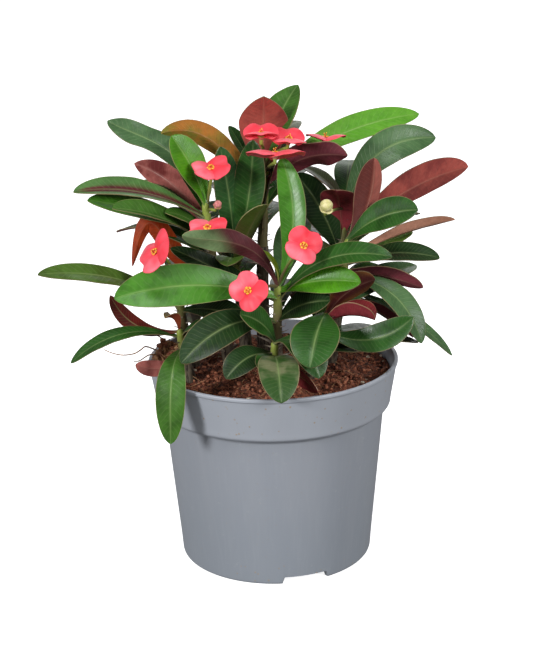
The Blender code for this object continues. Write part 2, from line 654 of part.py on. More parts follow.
def soil_mesh(sides=SOIL_SIDES, rings=SOIL_RINGS):
    """The soil: its lumpy top, its wall inside the pot's, and its flat foot, all a gap clear of the pot."""
    floor = PLATE_HEIGHT + PLATE + GAP
    edge = inner_radius(SOIL_EDGE) - GAP - 0.05
    band_foot = POT_HEIGHT - BAND_HEIGHT
    walls = [(edge, SOIL_EDGE), (inner_radius(band_foot) - GAP - 0.1, band_foot),
             (inner_radius(band_foot - STEP_HEIGHT) - GAP - 0.1, band_foot - STEP_HEIGHT),
             (inner_radius(floor) - GAP - 0.8, floor)]
    verts = [(0, 0, soil_height(0, 0))]
    for i in range(1, rings + 1):
        for k in range(sides):
            a = 2 * math.pi * k / sides
            x = edge * i / rings * math.cos(a)
            y = edge * i / rings * math.sin(a)
            verts.append((x, y, soil_height(x, y)))
    for radius, z in walls[1:]:
        for k in range(sides):
            a = 2 * math.pi * k / sides
            verts.append((radius * math.cos(a), radius * math.sin(a), z))
    verts.append((0, 0, floor))
    faces = []
    loops = rings + len(walls) - 1
    last = len(verts) - 1
    for k in range(sides):
        m = (k + 1) % sides
        faces.append((0, 1 + k, 1 + m))
        for i in range(loops - 1):
            a = 1 + i * sides
            b = a + sides
            faces += [(a + k, b + k, b + m), (a + k, b + m, a + m)]
        foot = 1 + (loops - 1) * sides
        faces.append((last, foot + m, foot + k))
    return np.array(verts, float), faces


def ball(centre, radii, axis, rings=4, sides=7):
    """A round body about an axis: radii are its half height and its girth."""
    reference = np.array([1.0, 0, 0]) if abs(axis[0]) < 0.9 else np.array([0, 1.0, 0])
    x = unit(np.cross(reference, axis))
    y = np.cross(axis, x)
    verts = [centre - axis * radii[0]]
    for i in range(1, rings):
        a = math.pi * i / rings
        for k in range(sides):
            b = 2 * math.pi * k / sides
            out = x * math.cos(b) + y * math.sin(b)
            verts.append(centre - axis * radii[0] * math.cos(a) + out * radii[1] * math.sin(a))
    verts.append(centre + axis * radii[0])
    faces = []
    last = len(verts) - 1
    for k in range(sides):
        m = (k + 1) % sides
        faces.append((0, 1 + m, 1 + k))
        for i in range(rings - 2):
            a = 1 + i * sides
            faces.append((a + k, a + m, a + sides + m, a + sides + k))
        foot = 1 + (rings - 2) * sides
        faces.append((last, foot + k, foot + m))
    return np.array(verts), faces


# ---- Blender objects ------------------------------------------------------------------------------------
@dataclass(frozen=True)
class Finish:
    name: str
    colour: tuple
    roughness: float


FINISHES = {
    "pot": Finish("grey_polypropylene", (0.31, 0.32, 0.35), 0.45),
    "soil": Finish("peat_and_coir", (0.07, 0.03, 0.018), 0.95),
    "wood": Finish("woody_stem", (0.12, 0.09, 0.07), 0.85),
    "leaf": Finish("waxy_leaf", (0.06, 0.16, 0.03), 0.4),
    "bract": Finish("pink_red_bract", (0.85, 0.12, 0.14), 0.55),
    "eye": Finish("yellow_eye", (0.8, 0.42, 0.05), 0.5),
    "bud": Finish("cream_bud", (0.62, 0.55, 0.24), 0.5),
}


def material(key):
    finish = FINISHES[key]
    found = bpy.data.materials.get(finish.name)
    if found:
        return found
    made = bpy.data.materials.new(finish.name)
    made.use_nodes = True
    shader = made.node_tree.nodes["Principled BSDF"]
    shader.inputs["Base Color"].default_value = (*finish.colour, 1)
    shader.inputs["Roughness"].default_value = finish.roughness
    return made


def to_object(name, solid, key):
    """A Blender object from a solid in mm, with its faces turned outwards."""
    verts, faces = solid
    mesh = bpy.data.meshes.new(name)
    mesh.from_pydata([tuple(float(c) * MM for c in v) for v in verts], [], [tuple(f) for f in faces])
    bm = bmesh.new()
    bm.from_mesh(mesh)
    bmesh.ops.recalc_face_normals(bm, faces=bm.faces)
    bm.to_mesh(mesh)
    bm.free()
    mesh.materials.append(material(key))
    made = bpy.data.objects.new(name, mesh)
    bpy.context.scene.collection.objects.link(made)
    return made


def apply_modifiers(target):
    depsgraph = bpy.context.evaluated_depsgraph_get()
    mesh = bpy.data.meshes.new_from_object(target.evaluated_get(depsgraph))
    old = target.data
    target.modifiers.clear()
    target.data = mesh
    bpy.data.meshes.remove(old)


def fuse(name, solids, key, solver="MANIFOLD"):
    """One body from several solids that overlap: one Boolean union on a collection, applied."""
    body = to_object(name, solids[0], key)
    if len(solids) == 1:
        return body
    others = bpy.data.collections.new(name + "_parts")
    bpy.context.scene.collection.children.link(others)
    for i, solid in enumerate(solids[1:]):
        piece = to_object(f"{name}_part_{i}", solid, key)
        bpy.context.scene.collection.objects.unlink(piece)
        others.objects.link(piece)
    union = body.modifiers.new("union", "BOOLEAN")
    union.operation = "UNION"
    union.operand_type = "COLLECTION"
    union.collection = others
    union.solver = solver
    apply_modifiers(body)
    for piece in list(others.objects):
        bpy.data.objects.remove(piece)
    bpy.data.collections.remove(others)
    return body


def cut(body, solids, key):
    """Cuts solids out of a body and removes the cutters."""
    cutters = bpy.data.collections.new(body.name + "_cutters")
    bpy.context.scene.collection.children.link(cutters)
    for i, solid in enumerate(solids):
        piece = to_object(f"{body.name}_cutter_{i}", solid, key)
        bpy.context.scene.collection.objects.unlink(piece)
        cutters.objects.link(piece)
    taken = body.modifiers.new("cut", "BOOLEAN")
    taken.operation = "DIFFERENCE"
    taken.operand_type = "COLLECTION"
    taken.collection = cutters
    taken.solver = "EXACT"
    apply_modifiers(body)
    for piece in list(cutters.objects):
        bpy.data.objects.remove(piece)
    bpy.data.collections.remove(cutters)


def notch_solid(heading):
    """A wedge through the foot ring, wider at the floor."""
    out = direction(heading, 0)
    side = np.array([-out[1], out[0], 0])
    verts = []
    for radius in (FOOT_RADIUS - 8, FOOT_RADIUS + 6):
        for z, half in ((-1, NOTCH_WIDTH / 2 + 1.2), (NOTCH_HEIGHT, NOTCH_WIDTH / 2 - 1.2)):
            for sign in (-1, 1):
                verts.append(out * radius + side * half * sign + np.array([0, 0, z]))
    faces = [(0, 1, 3, 2), (4, 6, 7, 5), (0, 4, 5, 1), (2, 3, 7, 6), (0, 2, 6, 4), (1, 5, 7, 3)]
    return np.array(verts), faces


def build_pot():
    pot = to_object("pot", revolve(pot_profile(), POT_SIDES), "pot")
    notches = [notch_solid(NOTCH_FIRST + 360 / NOTCHES * i) for i in range(NOTCHES)]
    drains = []
    for i in range(DRAIN_HOLES):
        centre = direction(360 / DRAIN_HOLES * i, 0) * DRAIN_CIRCLE
        drains.append(tube([centre + (0, 0, PLATE_HEIGHT - 1), centre + (0, 0, PLATE_HEIGHT + PLATE + 1)],
                           [DRAIN_RADIUS] * 2, 10))
    cut(pot, notches + drains, "pot")
    pot.data.shade_smooth()
    pot.data.set_sharp_from_angle(angle=math.radians(35))


def stem_hole(shoot):
    """The stem's hole in the soil: its own line, a gap wider all round, below, and out past the surface."""
    out = (STEM_DEPTH + SOIL_MOUND + 3) / (shoot.crown[2] - SOIL_EDGE + STEM_DEPTH)
    points = [stem_point(shoot, out * t) for t in (0, 0.5, 1)]
    points[0] = points[0] - unit(points[1] - points[0]) * GAP
    points.append(points[-1] + unit(points[-1] - points[-2]) * STEM_DEPTH)
    return tube(points, [STEM_RADIUS * 1.1 + GAP + 0.4] * 4, 8)


def build_soil(shoots):
    soil = to_object("soil", soil_mesh(), "soil")
    cut(soil, [stem_hole(shoot) for shoot in shoots.values()], "soil")


def bud_solids(shoot, bloom):
    """A closed bud with a small collar of two young bracts."""
    centre, x, y, axis = bloom_axes(shoot, bloom)
    axes = (centre - axis * 0.6, x, y, axis)
    collar = replace(bloom, size=bloom.size * 1.15, cup=20)
    return [ball(centre + axis * bloom.size * 0.7, (bloom.size, bloom.size), axis, 5, 8),
            bract_solid(collar, axes, 1, BRACT), bract_solid(collar, axes, -1, BRACT)]


def build_bloom(shoot, bloom):
    petals, eye = bloom_solids(bloom, bloom_axes(shoot, bloom), BRACT)
    if bloom.name.startswith("bud"):
        fuse(bloom.name, petals[:1] + bud_solids(shoot, bloom), "bud")
        return
    fuse("bloom_" + bloom.name, petals, "bract")
    to_object("eye_" + bloom.name, eye, "eye")


def build_shoot(name, shoot, placed):
    fuse("stem_" + name, [stem_solid(shoot)] + thorn_solids(name, shoot, placed), "wood")
    green = [top_solid(shoot)]
    green += [tube(stalk_points(shoot, bloom), [STALK_RADIUS] * 5, 6) for bloom in shoot.blooms]
    green += [blade_solid(leaf, shoot_point(shoot, leaf.at), BLADE) for leaf in shoot.leaves]
    fuse("foliage_" + name, green, "leaf")
    for bloom in shoot.blooms:
        build_bloom(shoot, bloom)


def main():
    for old in list(bpy.data.objects):
        bpy.data.objects.remove(old)
    shoots, leaves = plan()
    placed, left_out = arrange(shoots, leaves)
    print("left out for want of room:", left_out)
    build_pot()
    build_soil(shoots)
    for name, shoot in shoots.items():
        build_shoot(name, shoot, placed)


if __name__ == "__main__":
    main()
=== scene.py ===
"""Looks of a potted crown of thorns (Euphorbia milii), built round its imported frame.

Lengths are in millimetres until a mesh is made. +Z is up, the origin is on the pot's axis at its
base and the viewer stands at -Y.
"""

import logging
import math
import random
from dataclasses import dataclass, field, replace
from enum import Enum

import bmesh
import bpy
import numpy as np
from mathutils import Matrix, Vector, noise
from mathutils.kdtree import KDTree


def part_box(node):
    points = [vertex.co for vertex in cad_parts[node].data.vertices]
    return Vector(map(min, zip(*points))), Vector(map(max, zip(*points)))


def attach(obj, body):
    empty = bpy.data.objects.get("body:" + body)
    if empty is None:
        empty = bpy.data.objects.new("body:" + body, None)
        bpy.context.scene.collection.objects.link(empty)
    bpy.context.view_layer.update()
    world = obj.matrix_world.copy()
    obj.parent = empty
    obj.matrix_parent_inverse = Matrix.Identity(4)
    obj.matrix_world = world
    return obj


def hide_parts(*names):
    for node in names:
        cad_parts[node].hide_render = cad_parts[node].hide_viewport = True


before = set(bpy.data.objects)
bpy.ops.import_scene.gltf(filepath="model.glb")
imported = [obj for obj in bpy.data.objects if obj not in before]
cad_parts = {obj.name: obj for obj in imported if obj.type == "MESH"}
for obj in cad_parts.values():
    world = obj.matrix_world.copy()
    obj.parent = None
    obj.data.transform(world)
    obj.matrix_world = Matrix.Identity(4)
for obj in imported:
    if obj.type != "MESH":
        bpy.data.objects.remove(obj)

MM = 0.001
LOG = logging.getLogger("potted_plant")


# ---- colours and nodes --------------------------------------------------------------------------
def linear(hex_colour: str) -> tuple[float, float, float, float]:
    """Turns an sRGB hex colour into linear light.

    Args:
        hex_colour: A colour such as "#4d7e2e".

    Returns:
        Red, green, blue and alpha, in linear light.
    """
    channels = [int(hex_colour[i:i + 2], 16) / 255 for i in (1, 3, 5)]
    light = [c / 12.92 if c <= 0.04045 else ((c + 0.055) / 1.055) ** 2.4 for c in channels]
    return (*light, 1.0)


def per_metre(size_mm: float) -> float:
    """The scale of a texture whose patches have that size."""
    return 1 / (size_mm * MM)


class Kind(Enum):
    """A kind of node: its type, the inputs given in order, its output and its settings."""

    PLACE = ("ShaderNodeTexCoord", (), "Object", {})
    MARK = ("ShaderNodeAttribute", (), "Vector", {})
    PART = ("ShaderNodeSeparateXYZ", ("Vector",), "X", {})
    GREY = ("ShaderNodeCombineColor", (0, 1, 2), "Color", {})
    STRETCH = ("ShaderNodeMapping", ("Scale", "Vector"), "Vector", {})
    SPOTS = ("ShaderNodeTexNoise", ("Scale", "Detail", "Roughness", "Vector"), "Fac", {})
    CELLS = ("ShaderNodeTexVoronoi", ("Scale", "Vector"), "Distance", {})
    RAMP = ("ShaderNodeMapRange", ("Value", "From Min", "From Max", "To Min", "To Max"), "Result",
            {"interpolation_type": "SMOOTHSTEP"})
    MIX = ("ShaderNodeMix", (0, 6, 7), 2, {"data_type": "RGBA"})
    BUMP = ("ShaderNodeBump", ("Height", "Distance", "Strength", "Normal"), "Normal", {})
    PLUS = ("ShaderNodeMath", (0, 1), "Value", {"operation": "ADD"})
    MINUS = ("ShaderNodeMath", (0, 1), "Value", {"operation": "SUBTRACT"})
    TIMES = ("ShaderNodeMath", (0, 1), "Value", {"operation": "MULTIPLY"})
    LARGER = ("ShaderNodeMath", (0, 1), "Value", {"operation": "MAXIMUM"})
    UNSIGNED = ("ShaderNodeMath", (0,), "Value", {"operation": "ABSOLUTE"})
    SINE = ("ShaderNodeMath", (0,), "Value", {"operation": "SINE"})

    def __init__(self, node: str, inputs: tuple, output: str | int, settings: dict) -> None:
        """Keeps the four parts of the value under their names."""
        self.node, self.inputs, self.output, self.settings = node, inputs, output, settings


class Shader:
    """A material under construction: its tree and its Principled shader."""

    def __init__(self, name: str) -> None:
        """Makes the material with a bare Principled shader.

        Args:
            name: The material's name.
        """
        self.material = bpy.data.materials.new(name)
        self.material.use_nodes = True
        self.tree = self.material.node_tree
        self.principled = self.tree.nodes["Principled BSDF"]
        self.place = self.add(Kind.PLACE)

    def add(self, kind: Kind, *inputs: object, output: str | int | None = None,
            **settings: object) -> bpy.types.NodeSocket:
        """Adds a node with its settings and links.

        Args:
            kind: What the node does.
            inputs: A value or a source for each of the kind's inputs. A texture that is given no
                place is laid out in the object's own space.
            output: The output to use, where it isn't the kind's usual one.
            settings: Attributes of the node, besides those of its kind.

        Returns:
            The node's output.
        """
        node = self.tree.nodes.new(kind.node)
        for name, value in (kind.settings | settings).items():
            setattr(node, name, value)
        if "Vector" in kind.inputs[len(inputs):]:
            self.feed(node.inputs["Vector"], self.place)
        for name, source in zip(kind.inputs, inputs):
            self.feed(node.inputs[name], source)
        return node.outputs[kind.output if output is None else output]

    def feed(self, socket: bpy.types.NodeSocket, source: object) -> None:
        """Links a socket to its source, or sets its value.

        Args:
            socket: The socket of a node.
            source: Another node's output, or a value.
        """
        if isinstance(source, bpy.types.NodeSocket):
            self.tree.links.new(source, socket)
        else:
            socket.default_value = source

    def set(self, **sockets: object) -> None:
        """Feeds sockets of the Principled shader, with _ for each space in a name."""
        for name, source in sockets.items():
            self.feed(self.principled.inputs[name.replace("_", " ")], source)


# ---- finishes -----------------------------------------------------------------------------------
@dataclass(frozen=True)
class LeafFinish:
    """A living leaf: waxy cuticle over green tissue. The tint comes from each leaf's colours."""

    name: str
    vein: str
    margin: str
    vein_share: float        # how far the veins leave the leaf's own colour
    midrib_share: float      # how strongly the midrib's colour shows
    side_share: float        # the same for the side veins
    relief_mm: float         # depth of the veins
    roughness: float
    coat: float
    side_veins: int = 24     # on each side, so 2.5 mm apart on a leaf 60 mm long

    def material(self) -> bpy.types.Material:
        """Builds the material. A waxy cuticle gives a broad soft gloss with an IOR near 1.45.

        Returns:
            The material.
        """
        s = Shader(self.name)
        tint = s.add(Kind.MARK, output="Color", attribute_name="tint")
        patch = s.add(Kind.MARK, output="Color", attribute_name="patch")
        blade = s.add(Kind.MARK, attribute_name="blade")
        along = s.add(Kind.PART, blade)
        off_rib = s.add(Kind.UNSIGNED, s.add(Kind.PART, blade, output="Y"))

        clouds = s.add(Kind.SPOTS, per_metre(14), 3, 0.6)
        colour = s.add(Kind.MIX, s.add(Kind.RAMP, clouds, 0.4, 0.64), tint, patch)
        mottle = s.add(Kind.SPOTS, per_metre(2.2), 4, 0.7)
        mottle = s.add(Kind.RAMP, mottle, 0.25, 0.75, 0.88, 1.1)
        shade = s.add(Kind.GREY, mottle, mottle, mottle)
        colour = s.add(Kind.MIX, 1.0, colour, shade, blend_type="MULTIPLY")

        # Side veins leave the midrib at a slant and wander a little.
        wander = s.add(Kind.TIMES, s.add(Kind.SPOTS, per_metre(9), 1, 0.55), 0.05)
        slant = s.add(Kind.MINUS, along, s.add(Kind.TIMES, off_rib, 0.08))
        slant = s.add(Kind.PLUS, slant, wander)
        wave = s.add(Kind.SINE, s.add(Kind.TIMES, slant, 2 * math.pi * self.side_veins))
        side = s.add(Kind.TIMES, s.add(Kind.RAMP, wave, 0.6, 1.0),
                     s.add(Kind.RAMP, off_rib, 0.04, 0.2))
        side = s.add(Kind.TIMES, side, s.add(Kind.RAMP, off_rib, 0.97, 0.75))
        rib = s.add(Kind.TIMES, s.add(Kind.RAMP, off_rib, 0.055, 0.018),
                    s.add(Kind.RAMP, along, 1.0, 0.6, 0.3, 1.0))
        # Paler tissue keeps the leaf's own hue: the vein's colour is mixed into the tint.
        vein = s.add(Kind.MIX, self.vein_share, tint, linear(self.vein))
        halo = s.add(Kind.TIMES, s.add(Kind.RAMP, off_rib, 0.16, 0.03), 0.22)
        colour = s.add(Kind.MIX, s.add(Kind.TIMES, side, self.side_share), colour, vein)
        colour = s.add(Kind.MIX, halo, colour, vein)
        colour = s.add(Kind.MIX, s.add(Kind.TIMES, rib, self.midrib_share), colour, vein)
        # The margin is thin and dry.
        edge = s.add(Kind.TIMES, s.add(Kind.RAMP, off_rib, 0.95, 0.995), 0.55)
        colour = s.add(Kind.MIX, edge, colour, linear(self.margin))
        # The foot is paler where the blade runs into its stalk.
        foot = s.add(Kind.TIMES, s.add(Kind.RAMP, along, 0.1, 0.0), 0.55)
        colour = s.add(Kind.MIX, foot, colour, vein)

        relief = s.add(Kind.MINUS, s.add(Kind.TIMES, side, -0.4), rib)
        normal = s.add(Kind.BUMP, relief, self.relief_mm * MM, 0.7)
        skin = s.add(Kind.SPOTS, per_metre(3.5), 2, 0.55)
        normal = s.add(Kind.BUMP, skin, 0.3 * MM, 0.35, normal)
        gloss = s.add(Kind.RAMP, s.add(Kind.SPOTS, per_metre(5), 2, 0.55), 0.3, 0.7,
                      self.roughness - 0.06, self.roughness + 0.09)
        s.set(Base_Color=colour, Normal=normal, IOR=1.45, Specular_IOR_Level=0.26,
              Coat_Weight=self.coat, Coat_Roughness=0.2, Roughness=gloss)
        return s.material


@dataclass(frozen=True)
class StalkFinish:
    """Green soft stem tissue: faintly ribbed along its length, satin."""

    name: str
    young: str
    old: str

    def material(self) -> bpy.types.Material:
        """Builds the material. "blade" runs from the woody end at 0 to the growing tip at 1.

        Returns:
            The material.
        """
        s = Shader(self.name)
        young, old = linear(self.young), linear(self.old)
        along = s.add(Kind.PART, s.add(Kind.MARK, attribute_name="blade"))
        colour = s.add(Kind.MIX, s.add(Kind.RAMP, along, 0.3, 1.0), old, young)
        scars = s.add(Kind.SPOTS, per_metre(1.6), 4, 0.55)
        colour = s.add(Kind.MIX, s.add(Kind.RAMP, scars, 0.5, 0.75, 0.0, 0.45), colour, old)
        skin = s.add(Kind.SPOTS, per_metre(0.8), 3, 0.55)
        s.set(Base_Color=colour, Roughness=0.5, IOR=1.45,
              Normal=s.add(Kind.BUMP, skin, 0.15 * MM, 0.6))
        return s.material


@dataclass(frozen=True)
class BarkFinish:
    """Grey-brown bark, dry and matt, cracked along the stem."""

    name: str = "dry_grey_bark"
    pale: str = "#6a6050"
    dark: str = "#2a2119"
    green: str = "#5a5138"

    def material(self) -> bpy.types.Material:
        """Builds the material. The cracks are 1 mm apart round the stem and 6 mm long.

        Returns:
            The material.
        """
        s = Shader(self.name)
        cracks = s.add(Kind.SPOTS, per_metre(1.1), 4, 0.65, s.add(Kind.STRETCH, (1, 1, 0.17)))
        colour = s.add(Kind.MIX, s.add(Kind.RAMP, cracks, 0.35, 0.62), linear(self.dark),
                       linear(self.pale))
        algae = s.add(Kind.SPOTS, per_metre(4), 2, 0.55)
        colour = s.add(Kind.MIX, s.add(Kind.RAMP, algae, 0.45, 0.7, 0.0, 0.5), colour,
                       linear(self.green))
        s.set(Base_Color=colour, Roughness=0.85,
              Normal=s.add(Kind.BUMP, cracks, 0.35 * MM, 0.9))
        return s.material


@dataclass(frozen=True)
class ThornFinish:
    """A dry woody spine, grey at its foot and dark at its point."""

    name: str = "dry_spine"
    foot: str = "#8d8172"
    point: str = "#3a2c26"

    def material(self) -> bpy.types.Material:
        """Builds the material. "blade" runs from the foot at 0 to the point at 1.

        Returns:
            The material.
        """
        s = Shader(self.name)
        along = s.add(Kind.PART, s.add(Kind.MARK, attribute_name="blade"))
        colour = s.add(Kind.MIX, s.add(Kind.RAMP, along, 0.3, 1.0), linear(self.foot),
                       linear(self.point))
        grain = s.add(Kind.SPOTS, per_metre(0.5), 2, 0.55)
        s.set(Base_Color=colour, Roughness=0.6, Normal=s.add(Kind.BUMP, grain, 0.06 * MM, 0.5))
        return s.material


@dataclass(frozen=True)
class BractFinish:
    """Petal-like tissue: velvety, with fine veins that fan out from its foot."""

    name: str
    heart: str
    rim: str
    veins: int = 16          # to half a turn

    def material(self) -> bpy.types.Material:
        """Builds the material. "blade" is 0 at the foot to 1 at the rim, then angle / pi.

        Returns:
            The material.
        """
        s = Shader(self.name)
        tint = s.add(Kind.MARK, output="Color", attribute_name="tint")
        patch = s.add(Kind.MARK, output="Color", attribute_name="patch")
        blade = s.add(Kind.MARK, attribute_name="blade")
        out = s.add(Kind.PART, blade)
        clouds = s.add(Kind.SPOTS, per_metre(6.0), 1, 0.55)
        lift = s.add(Kind.PLUS, clouds, s.add(Kind.TIMES, out, 0.35))
        colour = s.add(Kind.MIX, s.add(Kind.RAMP, lift, 0.5, 0.95), patch, tint)
        rim = s.add(Kind.RAMP, out, 0.93, 1.0, 0.0, 0.6)
        colour = s.add(Kind.MIX, rim, colour, linear(self.rim))
        heart = s.add(Kind.RAMP, out, 0.28, 0.05, 0.0, 0.85)
        colour = s.add(Kind.MIX, heart, colour, linear(self.heart))
        fan = s.add(Kind.TIMES, s.add(Kind.PART, blade, output="Y"), 2 * math.pi * self.veins)
        fan = s.add(Kind.PLUS, fan, s.add(Kind.TIMES, clouds, 5.0))
        veins = s.add(Kind.RAMP, s.add(Kind.SINE, fan), 0.4, 1.0)
        colour = s.add(Kind.MIX, s.add(Kind.TIMES, veins, 0.1), colour, patch)
        nap = s.add(Kind.BUMP, s.add(Kind.SPOTS, per_metre(1.6), 2, 0.55), 0.1 * MM, 0.35)
        s.set(Base_Color=colour, Roughness=0.48, IOR=1.4, Sheen_Weight=0.1, Sheen_Roughness=0.4,
              Normal=s.add(Kind.BUMP, veins, 0.06 * MM, 0.4, nap))
        return s.material


@dataclass(frozen=True)
class MoistFinish:
    """Smooth moist plant tissue, such as a nectar gland or a closed bud."""

    name: str
    first: str
    second: str
    patch_mm: float
    roughness: float = 0.35

    def material(self) -> bpy.types.Material:
        """Builds the material.

        Returns:
            The material.
        """
        s = Shader(self.name)
        patches = s.add(Kind.SPOTS, per_metre(self.patch_mm), 2, 0.55)
        colour = s.add(Kind.MIX, s.add(Kind.RAMP, patches, 0.4, 0.62), linear(self.first),
                       linear(self.second))
        skin = s.add(Kind.SPOTS, per_metre(0.6), 2, 0.55)
        s.set(Base_Color=colour, Roughness=self.roughness, IOR=1.4, Coat_Weight=0.15,
              Coat_Roughness=0.2, Normal=s.add(Kind.BUMP, skin, 0.05 * MM, 0.5))
        return s.material


@dataclass(frozen=True)
class SoilFinish:
    """Damp peat with coir: dark crumbs from 0.5 to 3 mm, matt, with redder fibres."""

    name: str
    dark: str
    warm: str
    tan: str
    relief_mm: float = 0.7

    def material(self) -> bpy.types.Material:
        """Builds the material.

        Returns:
            The material.
        """
        s = Shader(self.name)
        crumbs = s.add(Kind.SPOTS, per_metre(1.7), 5, 0.7)
        colour = s.add(Kind.MIX, s.add(Kind.RAMP, crumbs, 0.38, 0.6), linear(self.dark),
                       linear(self.warm))
        flecks = s.add(Kind.SPOTS, per_metre(0.9), 3, 0.6)
        colour = s.add(Kind.MIX, s.add(Kind.RAMP, flecks, 0.58, 0.72, 0.0, 0.75), colour,
                       linear(self.tan))
        s.set(Base_Color=colour, Roughness=0.92,
              Normal=s.add(Kind.BUMP, crumbs, self.relief_mm * MM, 0.9))
        return s.material


@dataclass(frozen=True)
class PolypropyleneFinish:
    """Injection-moulded grey polypropylene: satin, with flow streaks, rubs and specks of soil.

    The places on the pot are metres in its own space.
    """

    name: str = "moulded_polypropylene"
    base: str = "#8f949d"
    worn: str = "#989ba2"
    # painted shade: the darker, bluer colour towards the foot
    low_shade: str = "#838b94"
    rubbed: str = "#aeb1b5"
    # painted light: the paler colour given to the band
    painted_band_light: str = "#a6abb4"
    drawn: str = "#a6abb3"
    dirt: str = "#9c8768"

    def material(self) -> bpy.types.Material:
        """Builds the material.

        Returns:
            The material.
        """
        s = Shader(self.name)
        height = s.add(Kind.PART, s.place, output="Z")
        flow = s.add(Kind.SPOTS, per_metre(9), 3, 0.5, s.add(Kind.STRETCH, (1, 1, 0.12)))
        colour = s.add(Kind.MIX, s.add(Kind.RAMP, flow, 0.35, 0.7, 0.0, 0.3),
                       linear(self.base), linear(self.worn))
        # Painted shade: the pot is made darker and bluer towards its foot, as if less light
        # reached it there.
        low = s.add(Kind.RAMP, height, 0.07, 0.0, 0.0, 0.5)
        colour = s.add(Kind.MIX, low, colour, linear(self.low_shade))
        rubs = s.add(Kind.RAMP, s.add(Kind.SPOTS, per_metre(6), 5, 0.75), 0.6, 0.78, 0.0, 0.35)
        colour = s.add(Kind.MIX, rubs, colour, linear(self.rubbed))
        # Painted light: the band is made paler than the body, as though it caught more light.
        band = s.add(Kind.RAMP, height, 0.075, 0.079, 0.0, 0.55)
        colour = s.add(Kind.MIX, band, colour, linear(self.painted_band_light))
        # Fine upright drag lines are left by the mould.
        drag = s.add(Kind.SPOTS, per_metre(1.6), 2, 0.5, s.add(Kind.STRETCH, (1, 1, 0.03)))
        lines = s.add(Kind.RAMP, drag, 0.45, 0.75, 0.0, 0.08)
        colour = s.add(Kind.MIX, lines, colour, linear(self.drawn))
        specks = self._specks(s, height)
        colour = s.add(Kind.MIX, s.add(Kind.TIMES, specks, 0.75), colour, linear(self.dirt))
        skin = s.add(Kind.BUMP, s.add(Kind.SPOTS, per_metre(1.1), 3, 0.55), 0.03 * MM, 0.35)
        satin = s.add(Kind.SPOTS, per_metre(11), 3, 0.55)
        s.set(Base_Color=colour, IOR=1.49, Normal=s.add(Kind.BUMP, specks, 0.15 * MM, 0.5, skin),
              Roughness=s.add(Kind.RAMP, satin, 0.3, 0.7, 0.4, 0.52))
        return s.material

    @staticmethod
    def _specks(s: Shader, height: bpy.types.NodeSocket) -> bpy.types.NodeSocket:
        """Specks of dried soil, from 0.3 to 1 mm, thickest on the band and the foot.

        Args:
            s: The material.
            height: Height over the pot's base.

        Returns:
            1 on a speck, 0 beside it.
        """
        grain = s.add(Kind.RAMP, s.add(Kind.CELLS, per_metre(3.2)), 0.2, 0.12)
        chosen = s.add(Kind.RAMP, s.add(Kind.SPOTS, per_metre(7), 2, 0.55), 0.51, 0.6)
        # Watering has splashed one place on the band, a little left of its front.
        across = s.add(Kind.PART, s.place)
        splash = s.add(Kind.TIMES, s.add(Kind.RAMP, across, -0.026, -0.014),
                       s.add(Kind.RAMP, across, 0.012, 0.002))
        splash = s.add(Kind.TIMES, splash, s.add(Kind.RAMP, height, 0.094, 0.084))
        chosen = s.add(Kind.LARGER, chosen, splash)
        zone = s.add(Kind.PLUS, s.add(Kind.RAMP, height, 0.074, 0.08, 0.12, 1.0),
                     s.add(Kind.RAMP, height, 0.014, 0.004, 0.0, 0.6))
        return s.add(Kind.TIMES, s.add(Kind.TIMES, grain, chosen), zone)


@dataclass(frozen=True)
class PlainFinish:
    """A surface of one colour with a faint grain."""

    name: str
    colour: str
    grain: str
    size_mm: float
    roughness: float = 0.8

    def material(self) -> bpy.types.Material:
        """Builds the material.

        Returns:
            The material.
        """
        s = Shader(self.name)
        grain = s.add(Kind.RAMP, s.add(Kind.SPOTS, per_metre(self.size_mm), 3, 0.55), 0.35, 0.65)
        s.set(Base_Color=s.add(Kind.MIX, grain, linear(self.colour), linear(self.grain)),
              Roughness=self.roughness)
        return s.material


# ---- tones of leaves ----------------------------------------------------------------------------
class Paint(Enum):
    """Where a face of a leaf takes its second colour instead of drifting between the two."""

    NONE = 0
    BAND = 1       # along the middle
    HALF = 2       # on one side of the midrib
    TIP = 3        # towards the tip
    MARGIN = 4     # along both margins

    def share(self, t: float, a: float) -> float:
        """How much of the second colour shows.

        Args:
            t: Place along the leaf, from 0 to 1.
            a: Place across it, from -1 to 1.

        Returns:
            A share from 0 to 1.
        """
        if self is Paint.BAND:
            middle = np.interp(abs(a - 0.05 + 0.2 * t), (0.34, 0.52), (1, 0))
            return float(middle * np.interp(t, (0.9, 1), (1, 0)))
        if self is Paint.HALF:
            return float(np.interp(-a, (-0.1, 0.15), (0, 1)))
        if self is Paint.TIP:
            return float(np.interp(t + 0.12 * a, (0.56, 0.72), (0, 1)))
        if self is Paint.MARGIN:
            return float(np.interp(abs(a), (0.45, 0.95), (0, 1)))
        return 0.0


@dataclass(frozen=True)
class Tint:
    """The two colours of one face of a leaf, and where the second one shows."""

    main: str
    patch: str
    paint: Paint = Paint.NONE


PLAIN = Tint("#808080", "#808080")


